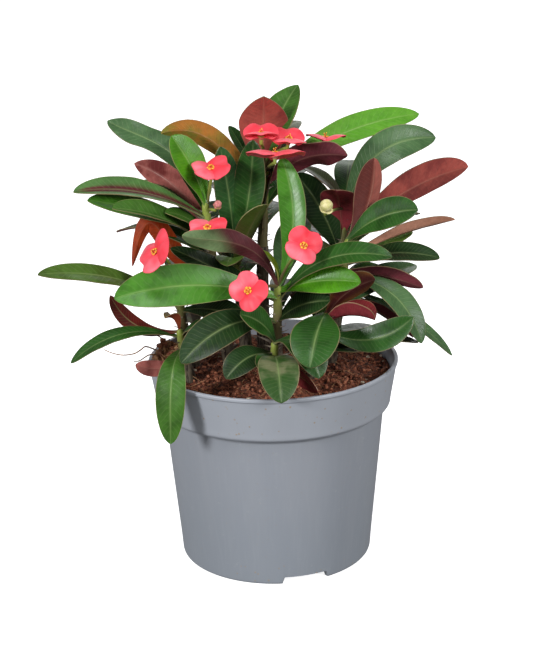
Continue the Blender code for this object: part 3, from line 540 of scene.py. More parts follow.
class Tone(Enum):
    """How a leaf is coloured: its upper face, then its underside."""

    MID = (Tint("#3e6822", "#305419"), Tint("#565f38", "#5c4632"))
    BRIGHT = (Tint("#468024", "#356816"), Tint("#647a34", "#566c2c"))
    FRESH = (Tint("#4c8a14", "#3c7410"), Tint("#66802c", "#587226"))
    VIVID = (Tint("#5f9a2c", "#549026"), Tint("#6a8436", "#5c7630"))
    LIME = (Tint("#649014", "#8aa820"), Tint("#88982e", "#748628"))
    DARK = (Tint("#28521a", "#1c3e12"), Tint("#424628", "#4e3628"))
    DEEP = (Tint("#1b3614", "#12280c"), Tint("#2c2a1a", "#30201a"))
    GREY = (Tint("#48683f", "#3a5834"), Tint("#667058", "#645244"))
    SHEEN = (Tint("#30582a", "#24481f"), Tint("#4a5434", "#4a3a2c"))
    OLIVE = (Tint("#4a6a26", "#40591e"), Tint("#4e5e24", "#5a5a2c"))
    GRITTY = (Tint("#2c4a1e", "#6c7050"), Tint("#3c4426", "#5a5038"))
    RED = (Tint("#36481f", "#443e22"), Tint("#aa5046", "#883a36"))
    MAROON = (Tint("#343c1c", "#3c2e20"), Tint("#70303a", "#56242c"))
    CRIMSON = (Tint("#6a2226", "#8a2c32"), Tint("#963840", "#66222a"))
    ROSY = (Tint("#5a3428", "#6e4436"), Tint("#b0665e", "#74302e"))
    BRONZE = (Tint("#3a4420", "#4c3c1c"), Tint("#4c1c1a", "#6c4420", Paint.MARGIN))
    RUST = (Tint("#6a5a22", "#7a5a26"), Tint("#a0682a", "#75702a"))
    EMBER = (Tint("#6c4a1c", "#7c3c14"), Tint("#a43e12", "#8c2c0e"))
    SALMON = (Tint("#6a5a40", "#7a5a48"), Tint("#b07c66", "#9a6850"))
    BAND = (Tint("#4a7038", "#521c22", Paint.BAND), Tint("#4a2324", "#3a1d1e"))
    DARK_RED = (Tint("#5e1410", "#3e100c"), Tint("#56140e", "#681c16"))
    FLAME = (Tint("#8c4426", "#6a5a24"), Tint("#a04a30", "#7a3424"))
    HALVES = (Tint("#58201a", "#a85c50", Paint.HALF), Tint("#54201a", "#a85c50", Paint.HALF))
    TIPPED = (Tint("#54242a", "#6c8458", Paint.TIP), Tint("#54242a", "#6c8458", Paint.TIP))


# ---- the plan, as in the solids -----------------------------------------------------------------
@dataclass(frozen=True)
class Leaf:
    """One leaf. Lengths in mm, angles in degrees."""

    at: float                # where it leaves the green top: 0 at its foot, 1 at its tip
    heading: float           # of the chord: 0 is +X, 90 is +Y, -90 is towards the viewer
    rise: float              # of the chord above the level
    length: float
    width: float
    arch: float = 3.0        # lift of the midrib over the chord
    peak: float = 0.5        # how far along the lift is greatest
    sway: float = 0.0        # bow to the right, looking to the tip
    roll: float = 0.0        # clockwise, looking to the tip
    twist: float = 0.0       # roll gained from foot to tip
    fold: float = 14.0       # how far each half stands up from flat
    wave: float = 0.0        # height of the waves of the margin
    blunt: float = 0.3       # 0 pointed, 1 round
    tone: Tone = Tone.MID
    far: bool = False        # on the far side


@dataclass(frozen=True)
class Bloom:
    """A pair of bracts on a stalk. The face direction is that of the bloom's axis."""

    at: float
    heading: float
    rise: float
    length: float
    face: tuple[float, float]
    spin: float = 0.0
    size: float = 9.5
    cup: float = 15.0
    arch: float = 3.0
    name: str = ""


@dataclass
class Shoot:
    """A stem from the soil to its crown, and a green top from there to its growing tip."""

    foot: tuple[float, float]
    crown: tuple[float, float, float]
    tip: tuple[float, float, float]
    leaves: list[Leaf] = field(default_factory=list)
    blooms: list[Bloom] = field(default_factory=list)


SOIL_EDGE = 90.5             # height of the soil at the wall
SOIL_MOUND = 4.0             # its rise in the middle
CLUMP = (-50.0, -2.0)        # the knot of old roots
CLUMP_RADIUS = 9.0
CLUMP_HEIGHT = 9.0
STEM_DEPTH = 14.0
STEM_RADIUS = 3.2
STEM_BOW = 0.12
SHOOT_RADIUS = 2.0
STALK_RADIUS = 0.8
THORN_LENGTH = 8.0
THORN_RADIUS = 0.7
THORN_SPACING = 5.5
THORN_PAIR = 165.0           # between the two thorns of a pair
THORN_RISE = 12.0
GAP = 0.3                    # between a node and the next one
BLADE = 0.8                  # thickness of a leaf in the solids
CUP_DEPTH = 1.6
EYE_SEAT = 1.15
WIDEST = 0.62                # how far along a leaf is widest
TIP_HALF_WIDTH = 0.35
MARGIN_WAVES = 2.2           # along a leaf
GOLDEN_SHARE = 0.618
GOLDEN_ANGLE = 137.5         # by which each leaf or spine stands round from the one below
FAR_REACH = 63.0             # how far back the leaves go
# Leaves on the far side of each shoot: how many, their first and last heading, the highest rise.
FAR_SIDE = {"front": (3, 40, 140, 25), "right": (5, 45, 115, 5), "upper_left": (6, 85, 165, 25),
            "top": (6, 30, 150, 28), "lower_right": (3, 20, 100, 15), "middle": (5, 60, 150, 25),
            "lower_left": (1, 70, 105, 0), "upper_right": (5, 60, 140, 25),
            "left": (4, 80, 125, 5)}


def unit(v: np.ndarray) -> np.ndarray:
    """The vector at length 1."""
    return v / np.linalg.norm(v)


def direction(heading: float, rise: float) -> np.ndarray:
    """A unit vector.

    Args:
        heading: Its heading in degrees.
        rise: Its angle above the level.

    Returns:
        The vector.
    """
    h = math.radians(heading)
    r = math.radians(rise)
    return np.array([math.cos(r) * math.cos(h), math.cos(r) * math.sin(h), math.sin(r)])


def over(heading: float, rise: float) -> np.ndarray:
    """The direction square to direction(heading, rise) that points most upwards.

    Args:
        heading: Heading in degrees.
        rise: Angle above the level.

    Returns:
        A unit vector.
    """
    h = math.radians(heading)
    r = math.radians(rise)
    return np.array([-math.sin(r) * math.cos(h), -math.sin(r) * math.sin(h), math.cos(r)])


def turned(v: np.ndarray, axis: np.ndarray, degrees: float) -> np.ndarray:
    """The vector turned about an axis.

    Args:
        v: The vector.
        axis: A unit vector.
        degrees: How far it is turned.

    Returns:
        The turned vector.
    """
    a = math.radians(degrees)
    along = axis * (axis @ v) * (1 - math.cos(a))
    return v * math.cos(a) + np.cross(axis, v) * math.sin(a) + along


def hump(t: float, peak: float) -> float:
    """A smooth lift that is 0 at both ends.

    Args:
        t: Place from 0 to 1.
        peak: Where it is 1.

    Returns:
        A share from 0 to 1.
    """
    a = max(1.0, peak / (1 - peak))
    b = max(1.0, (1 - peak) / peak)
    return t ** a * (1 - t) ** b / (peak ** a * (1 - peak) ** b)


def wobble(x: float, y: float = 0.0, z: float = 0.0) -> float:
    """Smooth noise from -1 to 1."""
    return noise.noise(Vector((x, y, z)))


def shoot_point(shoot: Shoot, at: float) -> np.ndarray:
    """A point on the green top: 0 at its crown, 1 at its tip."""
    crown = np.array(shoot.crown, float)
    return crown + (np.array(shoot.tip, float) - crown) * at


def stem_point(shoot: Shoot, t: float) -> np.ndarray:
    """A point on the stem's axis, which bows a little to one side.

    Args:
        shoot: The shoot.
        t: 0 in the soil, 1 at the crown.

    Returns:
        The point.
    """
    foot = np.array([*shoot.foot, SOIL_EDGE - STEM_DEPTH])
    run = np.array(shoot.crown, float) - foot
    return foot + run * t + np.array([run[1], -run[0], 0.0]) * STEM_BOW * math.sin(math.pi * t)


class Plan:
    """Every shoot with its blooms and leaves, as they stand in the solids."""

    def __init__(self) -> None:
        """Sets out the shoots, then finds each leaf in its solid."""
        self.shoots = {
            "middle": Shoot((-12, -2), (-15, 4, 124), (-17, 4, 146)),
            "front": Shoot((2, -8), (2, -12, 112), (3, -14, 137)),
            "right": Shoot((26, 4), (32, -2, 126), (36, -2, 155)),
            "upper_left": Shoot((-18, 4), (-27, 0, 140), (-30, -3, 174)),
            "top": Shoot((-4, 16), (-4, 12, 150), (-2, 12, 186)),
            "lower_right": Shoot((17, -20), (20, -18, 106), (25, -20, 125)),
            "lower_left": Shoot((-36, -18), (-41, -18, 102), (-43, -22, 119)),
            "low_front": Shoot((0, -26), (0, -24, 98), (1, -28, 114)),
            "upper_right": Shoot((22, 22), (33, 22, 138), (37, 26, 164)),
            "left": Shoot((-34, 2), (-42, -2, 112), (-44, -6, 134)),
        }
        self._place_blooms()
        self._place_leaves()
        self._place_leaves_behind()

    def _bloom(self, shoot: str, name: str, at: float, heading: float, rise: float, length: float,
               face: tuple[float, float], **more: float) -> None:
        """Adds a bloom to a shoot."""
        self.shoots[shoot].blooms.append(Bloom(at, heading, rise, length, face, name=name, **more))

    def _leaf(self, shoot: str, name: str, at: float, heading: float, rise: float, length: float,
              width: float, tone: Tone, **more: float) -> None:
        """Adds a leaf to a shoot, if its solid has it.

        Args:
            shoot: Name of the shoot.
            name: Name of the leaf, for the log.
            at: Place on the green top, from 0 to 1.
            heading: Heading of its chord.
            rise: Rise of its chord.
            length: Its length.
            width: Its greatest width.
            tone: Its colours.
            more: Other fields of Leaf.
        """
        leaf = Leaf(at, heading, rise, length, width, tone=tone, **more)
        found = CadSolid.foliage(shoot).find(leaf, shoot_point(self.shoots[shoot], at))
        if found is None:
            LOG.info("leaf %s is not in the solid of shoot %s", name, shoot)
            return
        self.shoots[shoot].leaves.append(found)

    def _place_blooms(self) -> None:
        """The blooms and buds."""
        bloom = self._bloom
        bloom("front", "front_left", 1, -124, 10, 24, (-110, 25), spin=-37)
        bloom("front", "front_right", 1, -47, 53, 28, (-70, 35), spin=54)
        bloom("upper_left", "left_high", 0.8, -63, 76, 25, (-100, 66), spin=25, cup=22)
        bloom("upper_left", "left_middle", 0.6, -89, 18, 22, (-100, 66), spin=8)
        bloom("left", "far_left", 1, -108, 46, 34, (-150, 30), spin=60, size=11)
        bloom("top", "top_left", 1, -94, 46, 29, (-95, 84), spin=90, cup=28, arch=8)
        bloom("top", "top_back", 1, -55, 42, 26, (-60, 75), spin=100, cup=25, arch=7)
        bloom("top", "top_middle", 1, -80, 26, 30, (90, 74), size=14.5, cup=8)
        bloom("top", "top_right", 1, 10, 25, 32, (80, 78), size=10.5, cup=18)
        bloom("upper_right", "bud_cream", 1, -109, 13, 35, (-80, 60), size=3.0)
        bloom("upper_left", "bud_pink", 0.9, -40, 30, 8, (-60, 50), size=1.8)

    def _place_leaves(self) -> None:
        """The leaves that the viewer sees, shoot by shoot."""
        leaf = self._leaf
        leaf("front", "12", 0.8, -165, 8, 77, 21, Tone.BRIGHT, arch=8, roll=-55)
        leaf("front", "29", 0.7, -20, 25, 61, 14, Tone.DARK, arch=10, roll=35)
        leaf("front", "30", 0.9, -20, 11, 41, 14, Tone.FRESH, arch=5, roll=55)
        leaf("front", "28", 0.3, -25, 26, 30, 18, Tone.DEEP, arch=3, roll=40)
        leaf("front", "19", 0.3, -140, -7, 57, 18, Tone.DEEP, arch=8, roll=-40)
        leaf("front", "55", 1, 80, 75, 60, 13, Tone.BRIGHT, arch=4, sway=7)
        leaf("middle", "51", 1, -10, 74, 58, 16, Tone.DARK, arch=-2, roll=80)
        leaf("middle", "53", 0.8, -165, 84, 59, 15, Tone.SHEEN, arch=1, roll=-80)
        leaf("middle", "54", 0.7, -50, 60, 42, 15, Tone.OLIVE, arch=5, blunt=0.8)
        leaf("middle", "57", 0.9, -100, 12, 21, 14, Tone.OLIVE)
        leaf("front", "56", 1, 170, 55, 22, 7, Tone.LIME, arch=5)
        leaf("front", "58", 1, -149, 33, 62, 11, Tone.TIPPED, arch=9, peak=0.4, roll=80, wave=1.5)
        leaf("front", "59", 0.7, 170, 32, 56, 11, Tone.DEEP, arch=3, roll=-40)

        leaf("right", "35", 0.4, -30, -33, 49, 14, Tone.GREY, arch=10, roll=25)
        leaf("right", "36", 0.2, -12, -30, 61, 8, Tone.GREY, arch=5, roll=20)
        leaf("lower_right", "27", 1, -110, -22, 38, 23, Tone.DARK, arch=7, roll=-5)
        leaf("lower_right", "33", 0.6, -20, 13, 45, 14, Tone.DARK, arch=-8, roll=60, twist=30)
        leaf("lower_right", "32", 0.8, -20, 8, 25, 19, Tone.CRIMSON, arch=3, roll=-10, fold=45,
             blunt=0.8)
        leaf("lower_right", "31", 1, 15, 35, 28, 17, Tone.BRONZE, arch=3, roll=-60)
        leaf("right", "34", 0.1, -15, -27, 40, 10, Tone.MAROON, arch=3, roll=-50)
        leaf("lower_right", "37", 0.2, 0, 0, 47, 9, Tone.DEEP, arch=3, roll=10)
        leaf("lower_right", "38", 0.1, -25, 4, 27, 10, Tone.DEEP, arch=2, roll=10)

        leaf("low_front", "24", 0.5, -86, -9, 42, 19, Tone.GRITTY, arch=8, blunt=0.6)
        leaf("low_front", "22", 0.6, -135, -6, 31, 14, Tone.DEEP, arch=5, roll=-30)
        leaf("low_front", "26", 1, -48, -18, 31, 17, Tone.DARK, arch=7, roll=15)
        leaf("low_front", "21", 1, -160, 44, 23, 16, Tone.DARK, arch=3, roll=-40)
        leaf("low_front", "23", 0.5, -105, 4, 25, 11, Tone.DARK, arch=5)
        leaf("low_front", "25", 0.2, -54, -4, 34, 10, Tone.CRIMSON, arch=3, roll=100)

        leaf("lower_left", "18", 0.4, -98, -41, 49, 14, Tone.MID, arch=16, peak=0.45, roll=-10)
        leaf("lower_left", "15", 0.8, -166, -8, 52, 9, Tone.DARK, arch=8, roll=-25)
        leaf("lower_left", "13", 1, -176, 30, 36, 8, Tone.DARK_RED, arch=-7, roll=-85)
        leaf("lower_left", "14", 1, -115, 38, 17, 7, Tone.FLAME, arch=3, fold=35)
        leaf("lower_left", "16", 0.1, -148, 3, 26, 8, Tone.ROSY, arch=-5, roll=100)
        leaf("lower_left", "20", 0.8, -20, 28, 15, 10, Tone.DARK, arch=2, roll=10)

        leaf("right", "43", 1, -20, 27, 38, 17, Tone.DARK, arch=4, roll=50)
        leaf("right", "45", 1, 10, 72, 41, 16, Tone.HALVES, arch=-4, roll=-80, fold=35)
        leaf("right", "42", 0.7, 12, 16, 56, 8, Tone.SALMON, arch=3, roll=-60, fold=30)
        leaf("right", "40", 0.6, -10, 6, 45, 14, Tone.DEEP, arch=4, roll=25)
        leaf("right", "39", 0.5, -20, -7, 39, 11, Tone.MAROON, arch=2, roll=-60)
        leaf("right", "41", 0.6, 12, 20, 37, 10, Tone.OLIVE, arch=3, roll=20)

        leaf("upper_right", "44", 0.4, 32, 19, 82, 20, Tone.RED, arch=6, roll=-75)
        leaf("upper_right", "48", 0.9, 20, 35, 58, 18, Tone.GREY, arch=13, roll=55)
        leaf("upper_right", "46", 0.5, -105, 60, 30, 20, Tone.CRIMSON, arch=3)
        leaf("upper_right", "65", 1, 160, 40, 30, 14, Tone.MAROON, arch=3)
        leaf("upper_right", "67", 0.1, 165, 62, 46, 17, Tone.DEEP, arch=3, roll=-80)

        leaf("top", "49", 1, 42, 60, 44, 20, Tone.MID, arch=4, roll=10, blunt=-0.5)
        leaf("top", "50", 0.9, -88, 76, 42, 24, Tone.RED, arch=5, blunt=-1)
        leaf("top", "47", 0.9, 26, 14, 90, 15, Tone.VIVID, arch=4, roll=45)
        leaf("top", "2", 0.9, -170, 27, 54, 12, Tone.RUST, arch=7, peak=0.68, roll=75)
        leaf("top", "52", 0.7, 165, 62, 36, 10, Tone.DARK, arch=3, roll=-20)
        leaf("top", "66", 0.05, 10, 79, 44, 20, Tone.DEEP, arch=2)
        leaf("top", "64", 0.8, -25, 23, 46, 15, Tone.MAROON, arch=6, roll=-60, wave=1.5)

        leaf("upper_left", "1", 1, 155, 36, 62, 14, Tone.GREY, arch=11, peak=0.4, roll=-35,
             wave=1.2)
        leaf("upper_left", "4", 1, -175, 66, 36, 17, Tone.FRESH, arch=2, roll=-65)
        leaf("upper_left", "7", 0.8, -165, 16, 64, 17, Tone.BAND, arch=6, roll=-20, fold=20)
        leaf("upper_left", "9", 0.4, -145, 27, 58, 14, Tone.MID, arch=6, roll=-30, fold=28)
        leaf("upper_left", "6", 0.6, 150, 36, 50, 15, Tone.ROSY, arch=6, roll=110, fold=30)
        leaf("upper_left", "8", 0.6, -160, 20, 60, 15, Tone.BRIGHT, arch=4, roll=-30)
        leaf("upper_left", "10", 0.1, -170, 4, 38, 10, Tone.EMBER, arch=21, peak=0.8, roll=95)
        leaf("upper_left", "3", 0.8, 140, 55, 37, 10, Tone.DARK, roll=-40, fold=35)
        leaf("upper_left", "5", 1, 120, 70, 13, 8, Tone.MID)
        leaf("upper_left", "61", 0.1, -175, 30, 36, 10, Tone.DARK, roll=-20)
        leaf("upper_left", "62", 0.3, -145, 44, 34, 11, Tone.MID, roll=-30)

        leaf("left", "11", 0.6, -142, 22, 81, 12, Tone.OLIVE, arch=4, roll=-35)
        leaf("left", "68", 0.5, -30, 0, 34, 14, Tone.DEEP, arch=3, roll=30)

    def _place_leaves_behind(self) -> None:
        """Leaves on the far side of each shoot, spread by the golden section."""
        tones = (Tone.MID, Tone.DARK, Tone.RED, Tone.GREY)
        for name, (count, low, high, top) in FAR_SIDE.items():
            for i in range(count):
                heading = round(low + (high - low) * ((0.3 + GOLDEN_SHARE * i) % 1))
                rise = round(top - 34 * i / count)
                away = direction(heading, rise)[1]
                room = (FAR_REACH - self.shoots[name].crown[1]) / away
                length = round(min(54 + 7 * math.sin(2.4 * i + low), room))
                width = round(15 + 2.5 * math.sin(1.7 * i + low))
                self._leaf(name, f"{name}_far_{i}", 0.85 - 0.75 * i / count, heading, rise, length,
                           width, tones[(i + count) % 4], arch=6, far=True)


# ---- the form of a leaf -------------------------------------------------------------------------
def half_width(t: float, blunt: float) -> float:
    """Share of the half width: a slow taper to the foot, a rounded tip.

    Args:
        t: Place along the blade, from 0 to 1.
        blunt: 0 for a pointed tip, 1 for a round one.

    Returns:
        A share from 0 to 1.
    """
    if t < WIDEST:
        return 0.14 + 0.86 * math.sin(math.pi / 2 * (t / WIDEST) ** 1.1) ** 1.35
    k = (t - WIDEST) / (1 - WIDEST)
    return max(0.0, 1 - k ** (2.1 + 0.6 * blunt)) ** (0.66 - 0.16 * blunt)


def midrib(leaf: Leaf, foot: np.ndarray, t: float) -> np.ndarray:
    """A point on the midrib.

    Args:
        leaf: The leaf.
        foot: Where it leaves its shoot.
        t: Place along it, from 0 to 1.

    Returns:
        The point.
    """
    along = direction(leaf.heading, leaf.rise)
    up = over(leaf.heading, leaf.rise)
    bow = (up * leaf.arch + np.cross(along, up) * leaf.sway) * hump(t, leaf.peak)
    return foot + along * leaf.length * t + bow


def blade_axes(leaf: Leaf, foot: np.ndarray,
               t: float) -> tuple[np.ndarray, np.ndarray, np.ndarray]:
    """How the blade lies at one place.

    Args:
        leaf: The leaf.
        foot: Where it leaves its shoot.
        t: Place along it, from 0 to 1.

    Returns:
        The midrib's point, and the blade's own right-hand and upper directions there.
    """
    step = 0.02
    ahead = midrib(leaf, foot, min(1.0, t + step))
    behind = midrib(leaf, foot, max(0.0, t - step))
    tangent = unit(ahead - behind)
    right = unit(np.cross(tangent, over(leaf.heading, leaf.rise)))
    normal = np.cross(right, tangent)
    roll = math.radians(leaf.roll + leaf.twist * (t - 0.5))
    upper = normal * math.cos(roll) + right * math.sin(roll)
    return midrib(leaf, foot, t), right * math.cos(roll) - normal * math.sin(roll), upper


def margin_wave(leaf: Leaf, t: float, side: float) -> float:
    """Height of the margin's wave at t. The two margins are a quarter of a wave apart."""
    return leaf.wave * math.sin(2 * math.pi * MARGIN_WAVES * t + (math.pi / 2 if side > 0 else 0))


class CadSolid:
    """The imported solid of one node, used to see how each leaf was turned to fit."""

    _foliage: dict[str, "CadSolid"] = {}
    NEAR_TIP = 1.0                      # mm from the solid, where the tip can be right
    EXACT = 0.02                        # mm from a vertex that is the same point
    SHARE = 0.5                         # of the corners that have to be found
    SAMPLES = (0.52, 0.72, 0.9, 1.0)    # places along a leaf
    FAR_SAMPLES = (0.52, 0.84, 1.0)

    def __init__(self, node: str) -> None:
        """Reads the vertices of a node.

        Args:
            node: Its name.
        """
        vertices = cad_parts[node].data.vertices
        self.tree = KDTree(len(vertices))
        for i, vertex in enumerate(vertices):
            self.tree.insert(vertex.co / MM, i)
        self.tree.balance()

    @classmethod
    def foliage(cls, shoot: str) -> "CadSolid":
        """The foliage of a shoot, read once.

        Args:
            shoot: Name of the shoot.

        Returns:
            Its solid.
        """
        if shoot not in cls._foliage:
            cls._foliage[shoot] = cls("foliage_" + shoot)
        return cls._foliage[shoot]

    def distance(self, point: np.ndarray) -> float:
        """How far the nearest vertex is."""
        return self.tree.find(Vector(point))[2]

    def find(self, leaf: Leaf, foot: np.ndarray) -> Leaf | None:
        """Finds the small turn with which the leaf stands in the solid.

        Args:
            leaf: The leaf as planned.
            foot: Where it leaves its shoot.

        Returns:
            The leaf as it was settled, or None if the solid hasn't got it.
        """
        for heading in (0, 3, -3, 6, -6, 10, -10, 15, -15, 20, -20):
            for rise in (0, 3, -3, 6, -6, 9, -9):
                aimed = replace(leaf, heading=leaf.heading + heading, rise=leaf.rise + rise)
                if self.distance(midrib(aimed, foot, 1.0)) > self.NEAR_TIP:
                    continue
                for arch in (0, 2, -2):
                    for roll in (0, 12, -12):
                        tried = replace(aimed, arch=leaf.arch + arch, roll=leaf.roll + roll)
                        if self._share_found(tried, foot) >= self.SHARE:
                            return tried
        return None

    def _share_found(self, leaf: Leaf, foot: np.ndarray) -> float:
        """Compares a leaf with the solid.

        Args:
            leaf: The leaf to try.
            foot: Where it leaves its shoot.

        Returns:
            Share of the blade's corners that are vertices of the solid.
        """
        fold = math.radians(leaf.fold)
        hits = []
        for t in self.FAR_SAMPLES if leaf.far else self.SAMPLES:
            centre, right, upper = blade_axes(leaf, foot, t)
            half = max(TIP_HALF_WIDTH, leaf.width / 2 * half_width(t, leaf.blunt))
            for side in (-1, 1):
                wave = margin_wave(leaf, t, side) * half_width(t, leaf.blunt)
                corner = centre + right * side * half * math.cos(fold)
                corner = corner + upper * (half * math.sin(fold) + wave)
                for face in (-0.5, 0.5):
                    hits.append(self.distance(corner + upper * BLADE * face) < self.EXACT)
        return sum(hits) / len(hits)


# ---- mesh building ------------------------------------------------------------------------------
class MeshMaker:
    """Gathers surfaces with their colours, and makes one smooth mesh of them."""

    PATCH_DIMMING = 0.8                 # of a painted leaf's patches against its colour

    def __init__(self) -> None:
        """Starts empty."""
        self.verts: list[tuple[float, float, float]] = []
        self.faces: list[tuple[int, ...]] = []
        self.slots: list[int] = []
        self.blade: list[tuple[float, float, float]] = []
        self.tint: list[tuple[float, float, float, float]] = []
        self.patch: list[tuple[float, float, float, float]] = []

    def grid(self, points: np.ndarray, slot: int, blade: np.ndarray | None = None,
             tint: Tint = PLAIN, round_off: bool = False, flip: bool = False) -> None:
        """Adds a grid of points as quads.

        Args:
            points: Rows by columns by 3, in mm.
            slot: Material slot.
            blade: Rows by columns by 3 of surface coordinates.
            tint: Colours of this surface.
            round_off: Joins the last column to the first.
            flip: Turns the faces over.
        """
        rows, cols = points.shape[:2]
        start = len(self.verts)
        self._points(points.reshape(-1, 3), None if blade is None else blade.reshape(-1, 3), tint)
        for i in range(rows - 1):
            for j in range(cols if round_off else cols - 1):
                k = (j + 1) % cols
                a, b = start + i * cols + j, start + i * cols + k
                face = (a, b, b + cols, a + cols)
                self._face(face[::-1] if flip else face, slot)

    def seam(self, top: np.ndarray, low: np.ndarray, blade: np.ndarray, slot: int, tint: Tint,
             flip: bool) -> None:
        """Closes the gap between two edges.

        Args:
            top: Points of the upper edge.
            low: Points of the lower edge.
            blade: Surface coordinates, the same for both.
            slot: Material slot.
            tint: Colours of this surface.
            flip: Turns the faces over.
        """
        strip, marks = np.stack([top, low], axis=1), np.stack([blade] * 2, axis=1)
        self.grid(strip, slot, marks, tint, flip=flip)

    def solid(self, points: np.ndarray, faces: list[tuple[int, ...]], slot: int,
              blade: np.ndarray | None = None) -> None:
        """Adds points with faces that index them.

        Args:
            points: Points by 3, in mm.
            faces: The points of each face.
            slot: Material slot.
            blade: Points by 3 of surface coordinates.
        """
        start = len(self.verts)
        self._points(points, blade, PLAIN)
        for face in faces:
            self._face(tuple(start + i for i in face), slot)

    def _points(self, points: np.ndarray, blade: np.ndarray | None, tint: Tint) -> None:
        """Adds vertices.

        Args:
            points: Points by 3, in mm.
            blade: Points by 3 of surface coordinates.
            tint: Their colours.
        """
        count = len(points)
        self.verts += [tuple(p * MM) for p in points]
        self.blade += [tuple(b) for b in (blade if blade is not None else np.zeros((count, 3)))]
        main, patch = np.array(linear(tint.main)), np.array(linear(tint.patch))
        if tint.paint is Paint.NONE:
            self.tint += [tuple(main)] * count
            self.patch += [tuple(patch)] * count
            return
        for mark in blade:
            share = tint.paint.share(mark[0], mark[1])
            mixed = main * (1 - share) + patch * share
            self.tint.append(tuple(mixed))
            self.patch.append(tuple(mixed * self.PATCH_DIMMING))

    def _face(self, face: tuple[int, ...], slot: int) -> None:
        """Adds one face."""
        self.faces.append(face)
        self.slots.append(slot)

    def make(self, name: str, materials: list[bpy.types.Material],
             merge_mm: float = 0.0) -> bpy.types.Object:
        """Makes the object.

        Args:
            name: Name of the piece.
            materials: One for each slot.
            merge_mm: Vertices nearer than this are joined.

        Returns:
            The object, smooth shaded, in the scene.
        """
        mesh = bpy.data.meshes.new(name)
        mesh.from_pydata([tuple(float(c) for c in v) for v in self.verts], [], self.faces)
        mesh.polygons.foreach_set("material_index", self.slots)
        for label, values, kind, field_name in (("blade", self.blade, "FLOAT_VECTOR", "vector"),
                                                ("tint", self.tint, "FLOAT_COLOR", "color"),
                                                ("patch", self.patch, "FLOAT_COLOR", "color")):
            layer = mesh.attributes.new(label, kind, "POINT")
            layer.data.foreach_set(field_name, np.array(values, np.float32).ravel())
        if merge_mm:
            bm = bmesh.new()
            bm.from_mesh(mesh)
            bmesh.ops.remove_doubles(bm, verts=bm.verts, dist=merge_mm * MM)
            bm.to_mesh(mesh)
            bm.free()
        for material in materials:
            mesh.materials.append(material)
        mesh.shade_smooth()
        made = bpy.data.objects.new(name, mesh)
        bpy.context.scene.collection.objects.link(made)
        return made


def ring_frame(points: list[np.ndarray], i: int) -> tuple[np.ndarray, np.ndarray]:
    """Two directions across a path.

    Args:
        points: The path.
        i: Number of the point.

    Returns:
        Two unit vectors, square to the path and to each other.
    """
    along = unit(points[min(i + 1, len(points) - 1)] - points[max(i - 1, 0)])
    reference = np.array([0.0, 1.0, 0.0]) if abs(along[1]) < 0.9 else np.array([1.0, 0.0, 0.0])
    x = unit(np.cross(reference, along))
    return x, np.cross(along, x)


def add_tube(maker: MeshMaker, points: list[np.ndarray], radii: list[float], sides: int,
             slot: int, bark_mm: float = 0.0) -> None:
    """Adds a tube with closed ends.

    Args:
        maker: What to add it to.
        points: The tube's axis.
        radii: Its radius at each point.
        sides: Points round it.
        slot: Material slot.
        bark_mm: Height of lengthwise ridges.
    """
    rows, blade = [], []
    for i, centre in enumerate(points):
        x, y = ring_frame(points, i)
        ring, marks = [], []
        for k in range(sides):
            a = 2 * math.pi * k / sides
            out = x * math.cos(a) + y * math.sin(a)
            r = radii[i]
            if bark_mm:
                p = centre + out * r
                r += bark_mm * (wobble(p[0], p[1], p[2] * 0.25)
                                + 0.5 * wobble(p[0] * 2, p[1] * 2, p[2] * 0.8))
            ring.append(centre + out * r)
            marks.append((i / (len(points) - 1), k / sides, 0.0))
        rows.append(ring)
        blade.append(marks)
    maker.grid(np.array(rows), slot, np.array(blade), round_off=True)
    for i, flip in ((0, True), (-1, False)):
        ring = np.array(rows[i])
        cap = np.concatenate([ring, ring.mean(axis=0)[None]])
        faces = [(k, (k + 1) % sides, sides) for k in range(sides)]
        marks = np.concatenate([np.array(blade[i]), [blade[i][0]]])
        maker.solid(cap, [f[::-1] for f in faces] if flip else faces, slot, marks)


def curve(controls: list[np.ndarray], count: int) -> list[np.ndarray]:
    """A smooth path through points.

    Args:
        controls: Points that it passes through.
        count: Points to return.

    Returns:
        Points of a Catmull-Rom curve.
    """
    padded = [2 * controls[0] - controls[1], *controls, 2 * controls[-1] - controls[-2]]
    spans = len(controls) - 1
    path = []
    for i in range(count):
        u = i / (count - 1) * spans
        k = min(int(u), spans - 1)
        t = u - k
        a, b, c, d = padded[k:k + 4]
        path.append(0.5 * (2 * b + (c - a) * t + (2 * a - 5 * b + 4 * c - d) * t * t
                           + (3 * b - 3 * c + d - a) * t ** 3))
    return path


def add_ball(maker: MeshMaker, centre: np.ndarray, radii: tuple[float, float, float], axes: tuple,
             slot: int, rings: int, sides: int, lumps: float = 0.0) -> None:
    """Adds a rounded body.

    Args:
        maker: What to add it to.
        centre: Its middle.
        radii: Its half sizes along the three axes.
        axes: Three unit directions.
        slot: Material slot.
        rings: Rows from pole to pole.
        sides: Points round it.
        lumps: Share by which its surface goes in and out.
    """
    points = []
    for i in range(rings + 1):
        a = math.pi * i / rings
        for k in range(sides):
            b = 2 * math.pi * k / sides
            d = np.array([math.sin(a) * math.cos(b), math.sin(a) * math.sin(b), math.cos(a)])
            swell = 1 + lumps * wobble(*(d * 1.7 + centre * 0.7)) if lumps else 1.0
            points.append(centre + sum(axes[n] * radii[n] * d[n] * swell for n in range(3)))
    faces = []
    for i in range(rings):
        for k in range(sides):
            m = (k + 1) % sides
            a, b = i * sides, (i + 1) * sides
            if i == 0:
                faces.append((a + k, b + k, b + m))
            elif i == rings - 1:
                faces.append((a + k, b + k, a + m))
            else:
                faces.append((a + k, b + k, b + m, a + m))
    maker.solid(np.array(points), faces, slot)


WORLD_AXES = tuple(np.eye(3))


